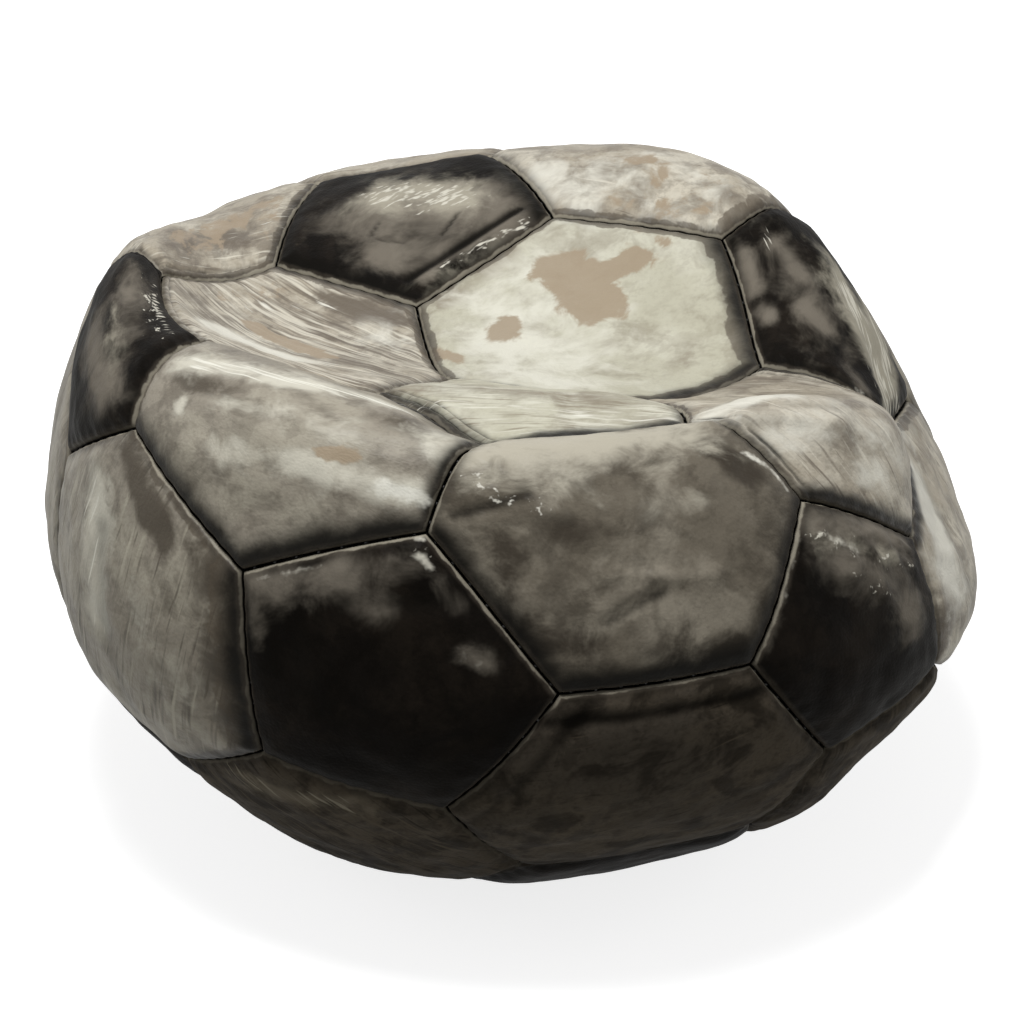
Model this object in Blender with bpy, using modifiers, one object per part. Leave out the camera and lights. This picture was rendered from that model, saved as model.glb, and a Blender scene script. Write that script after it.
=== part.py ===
"""A deflated, worn football: 32 sewn leather panels, a rubber bladder and its valve.

The ball is a truncated icosahedron of 12 pentagons and 20 hexagons. Each panel is shaped on the
round ball, and one function, `deflate`, then carries every point of the round ball to its place on
the collapsed one: the top has caved in, the body sags and spreads, and the underside lies flat.

Metres, +Z up. The origin is on the floor, below the middle of the ball.
"""

import math

import bmesh
import bpy
import numpy as np
from mathutils import Matrix, Vector

# ---------------------------------------------------------------- driving dimensions, metres
BALL_RADIUS = 0.110             # the inflated ball, 69 cm round
LEATHER = 0.0030                # leather with its cloth backing
PANEL_CROWN = 0.0010            # how far the middle of a panel stands above the seams' level
SEAM_DEPTH = 0.0021             # how far a panel's edge is drawn in by its stitches
SEAM_ROUND = 0.0060             # width over which a panel rounds down into its seam
SEAM_GAP = 0.0006               # slot between two panels
PANEL_STEPS = (0.0, 0.30, 0.60, 0.84, 0.95, 1.0)   # rings of a panel, centre to edge
AT_CENTRE = 1e-6                # share of the way out that still counts as the centre

BLADDER_SLACK = 0.0125          # how far the slack bladder lies below the ball's surface
BLADDER_RUBBER = 0.0012
BLADDER_AT_VALVE = 0.0052       # its depth where the valve holds it up
BLADDER_RISE_WIDTH = 26.0       # degrees of the round ball

VALVE_RADIUS = 0.0040
VALVE_HOLE_RADIUS = 0.0044
VALVE_RECESS = 0.0003           # below the leather around it
VALVE_FLANGE_RADIUS = 0.0075
VALVE_FLANGE_TOP = -0.0032      # heights on the valve's axis, from the ball's surface
VALVE_FLANGE_BOTTOM = -0.0046
VALVE_LENGTH = 0.0150
NEEDLE_RADIUS = 0.0007
NEEDLE_FUNNEL = 0.0010
NEEDLE_DEPTH = 0.0060
VALVE_SIDES = 20
VALVE_DRILL_LENGTH = 4.0 * BLADDER_AT_VALVE    # passes leather and bladder, half each side
MERGE_DISTANCE = 0.00001

# ---------------------------------------------------------------- how the ball has collapsed
# Lengths below are in ball radii and angles in degrees. X is right, -Y is the front.
BALL_SPIN = 34.5                # turn of the ball about the axis through its top pentagon
BALL_LEAN = 29.0                # tip of that axis ...
BALL_LEAN_TOWARDS = -77.0       # ... towards the front, a little to the right

DENT_LEVEL = 0.51               # the top caves in above this height
DENT_AXIS_LEAN = 4.0
DENT_AXIS_TOWARDS = 145.0
DENT_TURNOVER = 2.5             # 2 would mirror the cap in its rim
DENT_RIM = 0.39                 # roundness of the rim

PLAN_SCALE = (0.83, 0.92)       # the plan narrows as the height collapses
RIGHTWARD_SLUMP = 0.07          # the upper part leans to the right
BELLY_BULGE = 0.20
BELLY_LEVEL = -0.20
BELLY_HEIGHT = 0.50

SAG_LEVEL = -1.75               # heights are stretched about this level by a factor of the plan
SAG_MIDDLE = 1.38
SAG_RIGHT, SAG_BACK = -0.04, -0.02
SAG_SIDES, SAG_DIAGONAL, SAG_ENDS = -0.28, -0.06, -0.25

FLOOR_LEVEL = -0.64
FLOOR_TURN = 0.12               # softness of the turn into the flat underside

# Each fold pushes the skin along an arc of the round ball: its two ends as (azimuth, height),
# the width to either side, and the shift at its middle.
FOLDS = {
    "lip rolled over the dent": ((-136, 50), (-65, 73), 37, (-0.19, -0.05, 0.29)),
    "front crest pulled right": ((-143, 46), (-21, 33), 17, (0.09, 0.04, -0.01)),
    "back rim": ((46, 32), (112, 59), 31, (-0.10, -0.11, 0.25)),
    "right side fallen in": ((-13, 56), (-8, 28), 30, (-0.12, -0.03, -0.15)),
    "left shoulder": ((-184, 23), (176, 30), 21, (0.04, 0.04, 0.14)),
    "lower right bulge": ((-52, -40), (-52, -39), 16, (0.14, 0.00, 0.03)),
    "crease left of the fold": ((-122, 58), (-94, 46), 6, (0.00, 0.01, -0.03)),
    "crease along the fold": ((-92, 47), (-57, 46), 7, (0.00, 0.02, -0.04)),
    "crest across the right fold": ((-50, 42), (-14, 31), 8, (0.01, 0.00, 0.03)),
}

# ---------------------------------------------------------------- panels
# Rings of panels down from the top pentagon: angle from the ball's axis, azimuth of the first
# panel, then the panels 72 degrees apart, each with its leather.
RING_STEP = 72.0
PANEL_RINGS = (
    (0.0, 0.0, (("pentagon_in_fold", "pale"),)),
    (37.4, 36.0, (
        ("hexagon_dent_floor", "pale"), ("hexagon_dent_left", "scuffed"),
        ("hexagon_lip_left", "grey"), ("hexagon_lip_front", "brown"),
        ("hexagon_fold_right", "scuffed"))),
    (63.4, 0.0, (
        ("pentagon_rim_right", "black"), ("pentagon_dent_back", "black"),
        ("pentagon_rim_left", "black"), ("pentagon_front_left", "black"),
        ("pentagon_front_right", "black"))),
    (79.2, 36.0, (
        ("hexagon_rim_back_right", "scuffed"), ("hexagon_rim_back_left", "scuffed"),
        ("hexagon_side_left", "grey"), ("hexagon_belly_front", "grimy"),
        ("hexagon_side_right", "scuffed"))),
    (100.8, 0.0, (
        ("hexagon_side_back_right", "grey"), ("hexagon_back", "scuffed"),
        ("hexagon_side_back_left", "grey"), ("hexagon_belly_left", "grimy"),
        ("hexagon_belly_right", "grimy"))),
    (116.6, 36.0, (
        ("pentagon_back_right", "black"), ("pentagon_back_left", "black"),
        ("pentagon_under_left", "black"), ("pentagon_under_front", "black"),
        ("pentagon_under_right", "black"))),
    (142.6, 0.0, (
        ("hexagon_base_back_right", "grimy"), ("hexagon_base_back", "grimy"),
        ("hexagon_base_left", "grimy"), ("hexagon_base_front_left", "grimy"),
        ("hexagon_base_front_right", "grimy"))),
    (180.0, 0.0, (("pentagon_base", "black"),)),
)
VALVE_PANEL = "hexagon_back"

# sRGB colour and roughness of each leather and of the rubber.
FINISHES = {
    "pale": ((0.78, 0.76, 0.69), 0.50),
    "scuffed": ((0.62, 0.59, 0.53), 0.55),
    "grey": ((0.48, 0.45, 0.41), 0.50),
    "brown": ((0.42, 0.38, 0.34), 0.45),
    "grimy": ((0.20, 0.18, 0.15), 0.50),
    "black": ((0.09, 0.08, 0.07), 0.35),
    "bladder_rubber": ((0.10, 0.09, 0.08), 0.70),
    "valve_rubber": ((0.16, 0.14, 0.12), 0.60),
}


# ---------------------------------------------------------------- the collapse
def towards(azimuth, height):
    """Unit vector at an azimuth and a height above the horizon, in degrees."""
    azimuth, height = math.radians(azimuth), math.radians(height)
    return np.array((math.cos(azimuth) * math.cos(height),
                     math.sin(azimuth) * math.cos(height),
                     math.sin(height)))


def ball_turn():
    """Rotation that takes the upright ball to the way it lies."""
    lean_axis = Vector(towards(BALL_LEAN_TOWARDS + 90.0, 0.0))
    lean = Matrix.Rotation(math.radians(BALL_LEAN), 3, lean_axis)
    return np.array(lean @ Matrix.Rotation(math.radians(BALL_SPIN), 3, "Z"))


def angle_to_arc(directions, start, end):
    """Angle from each unit vector to the nearest point of the arc from start to end."""
    span = math.acos(float(np.clip(start @ end, -1.0, 1.0)))
    across = np.cross(np.cross(start, end), start)
    across /= np.linalg.norm(across)
    along = np.arctan2(directions @ across, directions @ start)
    along = np.where(along < span / 2.0 - math.pi, along + 2.0 * math.pi, along)
    along = np.clip(along, 0.0, span)[:, None]
    nearest = np.cos(along) * start + np.sin(along) * across
    return np.arccos(np.clip((directions * nearest).sum(axis=1), -1.0, 1.0))


def cave_in(points):
    """Turn the top of the ball over into a dent with a rounded rim."""
    axis = towards(DENT_AXIS_TOWARDS, 90.0 - DENT_AXIS_LEAN)
    above = points @ axis - DENT_LEVEL
    drop = DENT_TURNOVER * (above + np.sqrt(above ** 2 + DENT_RIM ** 2)) / 2.0
    return points - drop[:, None] * axis


def slump(points, directions):
    """Sag the heights by a factor of the plan, and let the belly bulge and the top lean."""
    x, y = directions[:, 0], directions[:, 1]
    factor = (SAG_MIDDLE + SAG_RIGHT * x + SAG_BACK * y
              + SAG_SIDES * x ** 2 + SAG_DIAGONAL * x * y + SAG_ENDS * y ** 2)
    height = points[:, 2]
    bulge = 1.0 + BELLY_BULGE * np.exp(-((height - BELLY_LEVEL) / BELLY_HEIGHT) ** 2)
    return np.column_stack((
        points[:, 0] * PLAN_SCALE[0] * bulge + RIGHTWARD_SLUMP * height,
        points[:, 1] * PLAN_SCALE[1] * bulge,
        SAG_LEVEL + (height - SAG_LEVEL) * factor))


def fold(points, directions):
    """Push the skin along each of the folds."""
    for start, end, width, shift in FOLDS.values():
        angle = angle_to_arc(directions, towards(*start), towards(*end))
        strength = np.exp(-(angle / math.radians(width)) ** 2)
        points = points + strength[:, None] * np.array(shift)
    return points


def settle(points):
    """Flatten what would lie below the floor, and measure heights from the floor."""
    above = points[:, 2] - FLOOR_LEVEL
    turning = (above + FLOOR_TURN) ** 2 / (4.0 * FLOOR_TURN)
    height = np.where(above < -FLOOR_TURN, 0.0, np.where(above > FLOOR_TURN, above, turning))
    return np.column_stack((points[:, :2], height))


def deflate(directions):
    """Places on the collapsed ball, in metres, of unit vectors of the round ball as it lies."""
    points = cave_in(directions)
    points = slump(points, directions)
    points = fold(points, directions)
    return settle(points) * BALL_RADIUS


def deflated_normals(directions):
    """Outward normals of the collapsed ball, from two small steps along its skin."""
    step = 0.002
    near_pole = 0.9
    helper = np.where(np.abs(directions[:, 2:]) < near_pole, (0.0, 0.0, 1.0), (1.0, 0.0, 0.0))
    first = np.cross(directions, helper)
    first /= np.linalg.norm(first, axis=1)[:, None]
    second = np.cross(directions, first)
    sides = []
    for tangent in (first, second):
        ahead = directions + step * tangent
        behind = directions - step * tangent
        ahead /= np.linalg.norm(ahead, axis=1)[:, None]
        behind /= np.linalg.norm(behind, axis=1)[:, None]
        sides.append(deflate(ahead) - deflate(behind))
    normals = np.cross(*sides)
    return normals / np.linalg.norm(normals, axis=1)[:, None]


# ---------------------------------------------------------------- mesh helpers
def to_linear(channel):
    """Linear value of an sRGB channel."""
    return channel / 12.92 if channel <= 0.04045 else ((channel + 0.055) / 1.055) ** 2.4


def finish_material(name, finish):
    """A Principled material of one colour and roughness."""
    colour, roughness = FINISHES[finish]
    material = bpy.data.materials.new(name + "_" + finish)
    material.use_nodes = True
    shader = material.node_tree.nodes["Principled BSDF"]
    shader.inputs["Base Color"].default_value = [to_linear(c) for c in colour] + [1.0]
    shader.inputs["Roughness"].default_value = roughness
    return material


def add_object(name, builder, finish, collection, parent):
    """An object of a bmesh, smooth, with its own material, under the ball's empty."""
    mesh = bpy.data.meshes.new(name)
    builder.to_mesh(mesh)
    builder.free()
    mesh.shade_smooth()
    if finish:
        mesh.materials.append(finish_material(name, finish))
    made = bpy.data.objects.new(name, mesh)
    made.parent = parent
    collection.objects.link(made)
    return made


def positions(builder):
    """The places of a bmesh's vertices as an array."""
    return np.array([vertex.co[:] for vertex in builder.verts])


def place(builder, points):
    """Move a bmesh's vertices to the rows of an array."""
    for vertex, point in zip(builder.verts, points):
        vertex.co = point


def solidify(made, thickness):
    """Thickness inwards from an open or closed skin."""
    modifier = made.modifiers.new("thickness", "SOLIDIFY")
    modifier.thickness = thickness
    modifier.offset = -1.0


def cut(made, cutter):
    """Boolean cut with the exact solver."""
    modifier = made.modifiers.new("valve_hole", "BOOLEAN")
    modifier.operation = "DIFFERENCE"
    modifier.object = cutter


# ---------------------------------------------------------------- panels
def round_ball():
    """Mesh of the truncated icosahedron: an icosahedron with its corners cut at a third."""
    builder = bmesh.new()
    bmesh.ops.create_icosphere(builder, subdivisions=1, radius=1.0)
    bmesh.ops.bevel(builder, geom=builder.verts[:], affect="VERTICES", segments=1,
                    offset_type="PERCENT", offset=100.0 / 3.0, clamp_overlap=False)
    mesh = bpy.data.meshes.new("round_ball")
    builder.to_mesh(mesh)
    builder.free()
    return mesh


def panel_directions():
    """Direction, on the upright ball, of the middle of every named panel, and its leather."""
    found = {}
    for lean, first_azimuth, panels in PANEL_RINGS:
        for place_in_ring, (name, leather) in enumerate(panels):
            azimuth = first_azimuth + RING_STEP * place_in_ring
            found[name] = (towards(azimuth, 90.0 - lean), leather)
    return found


def panel_grid(ball_mesh, direction):
    """The flat panel nearest a direction, as a grid, with each point's share of the way out."""
    builder = bmesh.new()
    builder.from_mesh(ball_mesh)
    builder.faces.ensure_lookup_table()
    chosen = max(builder.faces, key=lambda face: face.normal.dot(Vector(direction)))
    middle = np.array(chosen.calc_center_median())
    corners = np.array([vertex.co[:] for vertex in chosen.verts])
    others = [face for face in builder.faces if face is not chosen]
    bmesh.ops.delete(builder, geom=others, context="FACES")
    bmesh.ops.poke(builder, faces=builder.faces[:])
    bmesh.ops.subdivide_edges(builder, edges=builder.edges[:], cuts=len(PANEL_STEPS) - 2,
                              use_grid_fill=True)
    side_middles = (corners + np.roll(corners, -1, axis=0)) / 2.0 - middle
    inradius = np.linalg.norm(side_middles[0])
    outward = side_middles / inradius
    from_middle = positions(builder) - middle
    share = (from_middle @ outward.T).max(axis=1) / inradius
    return builder, middle, from_middle, share, inradius


def panel_skin(ball_mesh, direction, turn):
    """Outer skin of one panel on the collapsed ball."""
    builder, middle, from_middle, share, inradius = panel_grid(ball_mesh, direction)
    even_steps = np.linspace(0.0, 1.0, len(PANEL_STEPS))
    wanted = np.interp(share, even_steps, PANEL_STEPS)
    edge_width = inradius * BALL_RADIUS / np.linalg.norm(middle)
    trimmed = wanted * (1.0 - SEAM_GAP / 2.0 / edge_width)
    scale = np.divide(trimmed, share, out=np.zeros_like(share), where=share > AT_CENTRE)
    flat = middle + from_middle * scale[:, None]
    directions = flat / np.linalg.norm(flat, axis=1)[:, None] @ turn.T
    from_edge = (1.0 - wanted) * edge_width
    drawn_in = SEAM_DEPTH * np.clip(1.0 - from_edge / SEAM_ROUND, 0.0, 1.0) ** 2
    rise = PANEL_CROWN * (1.0 - wanted ** 2) - drawn_in
    skin = deflate(directions) + rise[:, None] * deflated_normals(directions)
    skin[:, 2] = np.maximum(skin[:, 2], 0.0)
    place(builder, skin)
    return builder


def add_panels(collection, parent, turn):
    """All 32 panels, and the bounds of their skins."""
    ball_mesh = round_ball()
    panels = {}
    lowest, highest = np.full(3, np.inf), np.full(3, -np.inf)
    for name, (direction, leather) in panel_directions().items():
        builder = panel_skin(ball_mesh, direction, turn)
        skin = positions(builder)
        lowest = np.minimum(lowest, skin.min(axis=0))
        highest = np.maximum(highest, skin.max(axis=0))
        panels[name] = add_object(name, builder, leather, collection, parent)
        solidify(panels[name], LEATHER)
    bpy.data.meshes.remove(ball_mesh)
    return panels, (lowest + highest) / 2.0


# ---------------------------------------------------------------- bladder and valve
def add_bladder(collection, parent, valve_direction):
    """The slack rubber bladder, held up under the leather only by its valve."""
    builder = bmesh.new()
    bmesh.ops.create_icosphere(builder, subdivisions=3, radius=1.0)
    to_valve = Vector((0.0, 0.0, 1.0)).rotation_difference(Vector(valve_direction)).to_matrix()
    directions = positions(builder)
    directions /= np.linalg.norm(directions, axis=1)[:, None]
    directions = directions @ np.array(to_valve).T
    angle = np.arccos(np.clip(directions @ valve_direction, -1.0, 1.0))
    held_up = np.exp(-(angle / math.radians(BLADDER_RISE_WIDTH)) ** 2)
    depth = BLADDER_SLACK - (BLADDER_SLACK - BLADDER_AT_VALVE) * held_up
    place(builder, deflate(directions) - depth[:, None] * deflated_normals(directions))
    bladder = add_object("bladder", builder, "bladder_rubber", collection, parent)
    solidify(bladder, BLADDER_RUBBER)
    return bladder


def valve_outline():
    """Half section of the valve, from the foot of its needle hole round to its inner end."""
    top = PANEL_CROWN - VALVE_RECESS
    return (
        (0.0, top - NEEDLE_DEPTH),
        (NEEDLE_RADIUS, top - NEEDLE_DEPTH),
        (NEEDLE_RADIUS, top - NEEDLE_FUNNEL),
        (NEEDLE_RADIUS + NEEDLE_FUNNEL, top),
        (VALVE_RADIUS, top),
        (VALVE_RADIUS, VALVE_FLANGE_TOP),
        (VALVE_FLANGE_RADIUS, VALVE_FLANGE_TOP),
        (VALVE_FLANGE_RADIUS, VALVE_FLANGE_BOTTOM),
        (VALVE_RADIUS, VALVE_FLANGE_BOTTOM),
        (VALVE_RADIUS, -VALVE_LENGTH),
        (0.0, -VALVE_LENGTH),
    )


def add_valve(collection, parent, location, rotation):
    """The valve, turned from its half section."""
    builder = bmesh.new()
    corners = [builder.verts.new((radius, 0.0, height)) for radius, height in valve_outline()]
    for start, end in zip(corners, corners[1:]):
        builder.edges.new((start, end))
    valve = add_object("valve", builder, "valve_rubber", collection, parent)
    valve.location, valve.rotation_euler = location, rotation
    turned = valve.modifiers.new("turned", "SCREW")
    turned.steps = turned.render_steps = VALVE_SIDES
    turned.use_merge_vertices = True
    turned.merge_threshold = MERGE_DISTANCE
    return valve


def add_valve_cutter(collection, parent, location, rotation):
    """Drill for the valve's hole through the leather and the bladder."""
    builder = bmesh.new()
    bmesh.ops.create_cone(builder, cap_ends=True, segments=VALVE_SIDES,
                          radius1=VALVE_HOLE_RADIUS, radius2=VALVE_HOLE_RADIUS,
                          depth=VALVE_DRILL_LENGTH)
    cutter = add_object("valve_drill", builder, None, collection, parent)
    cutter.location, cutter.rotation_euler = location, rotation
    cutter.hide_render = True
    cutter.display_type = "WIRE"
    return cutter


# ---------------------------------------------------------------- the whole ball
def main():
    """Build the ball in an emptied scene."""
    for old in list(bpy.data.objects):
        bpy.data.objects.remove(old, do_unlink=True)
    scene = bpy.context.scene
    ball_collection = bpy.data.collections.new("deflated_football")
    cutters = bpy.data.collections.new("cutters")
    scene.collection.children.link(ball_collection)
    scene.collection.children.link(cutters)
    ball = bpy.data.objects.new("ball_place", None)
    ball_collection.objects.link(ball)

    turn = ball_turn()
    panels, middle = add_panels(ball_collection, ball, turn)
    ball.location = (-middle[0], -middle[1], 0.0)

    valve_direction = turn @ panel_directions()[VALVE_PANEL][0]
    valve_place = deflate(valve_direction[None, :])[0]
    valve_normal = Vector(deflated_normals(valve_direction[None, :])[0])
    valve_turn = valve_normal.to_track_quat("Z", "Y").to_euler()
    bladder = add_bladder(ball_collection, ball, valve_direction)
    add_valve(ball_collection, ball, valve_place, valve_turn)
    drill = add_valve_cutter(cutters, ball, valve_place, valve_turn)
    for pierced in (panels[VALVE_PANEL], bladder):
        cut(pierced, drill)


main()
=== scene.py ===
"""A deflated, worn football, finished: finely shaped leather panels, their sewn seams and thread,
the rubber valve and bladder, and a plain studio.

The ball is a truncated icosahedron of 12 pentagons and 20 hexagons. One function, `deflate`,
carries every point of the round ball to its place on the collapsed one, as it does for the solids
of the frame. Each panel is shaped on the round ball and then carried over.

Metres, +Z up, the front towards -Y.
"""

import math
from collections import namedtuple

import bmesh
import bpy
import numpy as np
from bpy.props import FloatProperty, FloatVectorProperty, IntProperty, PointerProperty
from mathutils import Matrix, Vector, noise


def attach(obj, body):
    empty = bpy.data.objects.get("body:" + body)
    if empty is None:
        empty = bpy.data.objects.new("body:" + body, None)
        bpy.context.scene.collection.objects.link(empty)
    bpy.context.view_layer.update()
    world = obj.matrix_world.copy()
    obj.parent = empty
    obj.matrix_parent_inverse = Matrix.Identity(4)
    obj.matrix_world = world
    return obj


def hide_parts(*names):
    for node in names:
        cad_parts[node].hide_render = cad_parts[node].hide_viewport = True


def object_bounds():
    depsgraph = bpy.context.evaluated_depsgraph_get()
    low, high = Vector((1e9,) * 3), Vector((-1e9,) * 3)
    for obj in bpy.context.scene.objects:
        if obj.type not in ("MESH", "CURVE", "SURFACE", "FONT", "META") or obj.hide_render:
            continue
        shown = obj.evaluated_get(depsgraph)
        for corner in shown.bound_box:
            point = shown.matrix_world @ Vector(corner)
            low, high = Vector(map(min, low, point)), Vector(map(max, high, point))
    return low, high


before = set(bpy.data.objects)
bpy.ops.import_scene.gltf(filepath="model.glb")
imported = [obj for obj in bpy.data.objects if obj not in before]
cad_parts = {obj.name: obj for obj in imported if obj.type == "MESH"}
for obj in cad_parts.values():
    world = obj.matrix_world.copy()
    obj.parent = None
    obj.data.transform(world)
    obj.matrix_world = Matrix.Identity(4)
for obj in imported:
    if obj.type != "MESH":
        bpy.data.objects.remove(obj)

CAD_LOW, CAD_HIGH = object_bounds()

bl_info = {
    "name": "Deflated football",
    "version": (1, 0, 0),
    "blender": (4, 5, 0),
    "location": "3D View > Sidebar > Football",
    "description": "Leather panels, seams, valve and studio for a deflated football",
    "category": "Object",
}

MM = 0.001                      # metres in a millimetre

# ---------------------------------------------------------------- how the ball has collapsed
# Lengths below are in ball radii and angles in degrees. X is right, -Y is the front.
BALL_RADIUS = 0.110             # metres: the inflated ball, 69 cm round
BALL_SPIN = 34.5                # turn of the ball about the axis through its top pentagon
BALL_LEAN = 29.0                # tip of that axis ...
BALL_LEAN_TOWARDS = -77.0       # ... towards the front, a little to the right

DENT_LEVEL = 0.51               # the top caves in above this height
DENT_AXIS_LEAN = 4.0
DENT_AXIS_TOWARDS = 145.0
DENT_TURNOVER = 2.5             # 2 would mirror the cap in its rim
DENT_RIM = 0.39                 # roundness of the rim

PLAN_SCALE = (0.83, 0.92)       # the plan narrows as the height collapses
RIGHTWARD_SLUMP = 0.07          # the upper part leans to the right
BELLY_BULGE = 0.20
BELLY_LEVEL = -0.20
BELLY_HEIGHT = 0.50

SAG_LEVEL = -1.75               # heights are stretched about this level by a factor of the plan
SAG_MIDDLE = 1.38
SAG_RIGHT, SAG_BACK = -0.04, -0.02
SAG_SIDES, SAG_DIAGONAL, SAG_ENDS = -0.28, -0.06, -0.25

FLOOR_LEVEL = -0.64
FLOOR_TURN = 0.12               # softness of the turn into the flat underside

# Each fold pushes the skin along an arc of the round ball: its two ends as (azimuth, height),
# the width to either side, and the shift at its middle.
FOLDS = {
    "lip rolled over the dent": ((-136, 50), (-65, 73), 37, (-0.19, -0.05, 0.29)),
    "front crest pulled right": ((-143, 46), (-21, 33), 17, (0.09, 0.04, -0.01)),
    "back rim": ((46, 32), (112, 59), 31, (-0.10, -0.11, 0.25)),
    "right side fallen in": ((-13, 56), (-8, 28), 30, (-0.12, -0.03, -0.15)),
    "left shoulder": ((-184, 23), (176, 30), 21, (0.04, 0.04, 0.14)),
    "lower right bulge": ((-52, -40), (-52, -39), 16, (0.14, 0.00, 0.03)),
    "crease left of the fold": ((-122, 58), (-94, 46), 6, (0.00, 0.01, -0.03)),
    "crease along the fold": ((-92, 47), (-57, 46), 7, (0.00, 0.02, -0.04)),
    "crest across the right fold": ((-50, 42), (-14, 31), 8, (0.01, 0.00, 0.03)),
}

# ---------------------------------------------------------------- panels
# Rings of panels down from the top pentagon: angle from the ball's axis, azimuth of the first
# panel, then the panels 72 degrees apart, each with its leather. The low panels take the grimy
# leather, dark with grime and with painted shade towards the floor.
RING_STEP = 72.0
PANEL_RINGS = (
    (0.0, 0.0, (("pentagon_in_fold", "pale"),)),
    (37.4, 36.0, (
        ("hexagon_dent_floor", "pale"), ("hexagon_dent_left", "scuffed"),
        ("hexagon_lip_left", "grey"), ("hexagon_lip_front", "brown"),
        ("hexagon_fold_right", "scuffed"))),
    (63.4, 0.0, (
        ("pentagon_rim_right", "black"), ("pentagon_dent_back", "black"),
        ("pentagon_rim_left", "black"), ("pentagon_front_left", "black"),
        ("pentagon_front_right", "black"))),
    (79.2, 36.0, (
        ("hexagon_rim_back_right", "scuffed"), ("hexagon_rim_back_left", "scuffed"),
        ("hexagon_side_left", "grey"), ("hexagon_belly_front", "grimy"),
        ("hexagon_side_right", "scuffed"))),
    (100.8, 0.0, (
        ("hexagon_side_back_right", "grey"), ("hexagon_back", "scuffed"),
        ("hexagon_side_back_left", "grey"), ("hexagon_belly_left", "grimy"),
        ("hexagon_belly_right", "grimy"))),
    (116.6, 36.0, (
        ("pentagon_back_right", "black"), ("pentagon_back_left", "black"),
        ("pentagon_under_left", "black"), ("pentagon_under_front", "black"),
        ("pentagon_under_right", "black"))),
    (142.6, 0.0, (
        ("hexagon_base_back_right", "grimy"), ("hexagon_base_back", "grimy"),
        ("hexagon_base_left", "grimy"), ("hexagon_base_front_left", "grimy"),
        ("hexagon_base_front_right", "grimy"))),
    (180.0, 0.0, (("pentagon_base", "black"),)),
)
VALVE_PANEL = "hexagon_back"


# ---------------------------------------------------------------- the collapse
def towards(azimuth, height):
    """Unit vector at an azimuth and a height above the horizon, in degrees."""
    azimuth, height = math.radians(azimuth), math.radians(height)
    return np.array((math.cos(azimuth) * math.cos(height),
                     math.sin(azimuth) * math.cos(height),
                     math.sin(height)))


def ball_turn():
    """Rotation that takes the upright ball to the way it lies."""
    lean_axis = Vector(towards(BALL_LEAN_TOWARDS + 90.0, 0.0))
    lean = Matrix.Rotation(math.radians(BALL_LEAN), 3, lean_axis)
    return np.array(lean @ Matrix.Rotation(math.radians(BALL_SPIN), 3, "Z"))


def angle_to_arc(directions, start, end):
    """Angle from each unit vector to the nearest point of the arc from start to end."""
    span = math.acos(float(np.clip(start @ end, -1.0, 1.0)))
    across = np.cross(np.cross(start, end), start)
    across /= np.linalg.norm(across)
    along = np.arctan2(directions @ across, directions @ start)
    along = np.where(along < span / 2.0 - math.pi, along + 2.0 * math.pi, along)
    along = np.clip(along, 0.0, span)[:, None]
    nearest = np.cos(along) * start + np.sin(along) * across
    return np.arccos(np.clip((directions * nearest).sum(axis=1), -1.0, 1.0))


def cave_in(points):
    """Turn the top of the ball over into a dent with a rounded rim."""
    axis = towards(DENT_AXIS_TOWARDS, 90.0 - DENT_AXIS_LEAN)
    above = points @ axis - DENT_LEVEL
    drop = DENT_TURNOVER * (above + np.sqrt(above ** 2 + DENT_RIM ** 2)) / 2.0
    return points - drop[:, None] * axis


def slump(points, directions):
    """Sag the heights by a factor of the plan, and let the belly bulge and the top lean."""
    x, y = directions[:, 0], directions[:, 1]
    factor = (SAG_MIDDLE + SAG_RIGHT * x + SAG_BACK * y
              + SAG_SIDES * x ** 2 + SAG_DIAGONAL * x * y + SAG_ENDS * y ** 2)
    height = points[:, 2]
    bulge = 1.0 + BELLY_BULGE * np.exp(-((height - BELLY_LEVEL) / BELLY_HEIGHT) ** 2)
    return np.column_stack((
        points[:, 0] * PLAN_SCALE[0] * bulge + RIGHTWARD_SLUMP * height,
        points[:, 1] * PLAN_SCALE[1] * bulge,
        SAG_LEVEL + (height - SAG_LEVEL) * factor))


def fold(points, directions):
    """Push the skin along each of the folds."""
    for start, end, width, shift in FOLDS.values():
        angle = angle_to_arc(directions, towards(*start), towards(*end))
        strength = np.exp(-(angle / math.radians(width)) ** 2)
        points = points + strength[:, None] * np.array(shift)
    return points


def settle(points):
    """Flatten what would lie below the floor, and measure heights from the floor."""
    above = points[:, 2] - FLOOR_LEVEL
    turning = (above + FLOOR_TURN) ** 2 / (4.0 * FLOOR_TURN)
    height = np.where(above < -FLOOR_TURN, 0.0, np.where(above > FLOOR_TURN, above, turning))
    return np.column_stack((points[:, :2], height))


def deflate(directions):
    """Places on the collapsed ball, in metres, of unit vectors of the round ball as it lies."""
    points = cave_in(directions)
    points = slump(points, directions)
    points = fold(points, directions)
    return settle(points) * BALL_RADIUS


def deflated_normals(directions):
    """Outward normals of the collapsed ball, from two small steps along its skin."""
    step = 0.002
    near_pole = 0.9
    helper = np.where(np.abs(directions[:, 2:]) < near_pole, (0.0, 0.0, 1.0), (1.0, 0.0, 0.0))
    first = np.cross(directions, helper)
    first /= np.linalg.norm(first, axis=1)[:, None]
    second = np.cross(directions, first)
    sides = []
    for tangent in (first, second):
        ahead = directions + step * tangent
        behind = directions - step * tangent
        ahead /= np.linalg.norm(ahead, axis=1)[:, None]
        behind /= np.linalg.norm(behind, axis=1)[:, None]
        sides.append(deflate(ahead) - deflate(behind))
    normals = np.cross(*sides)
    return normals / np.linalg.norm(normals, axis=1)[:, None]
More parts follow.
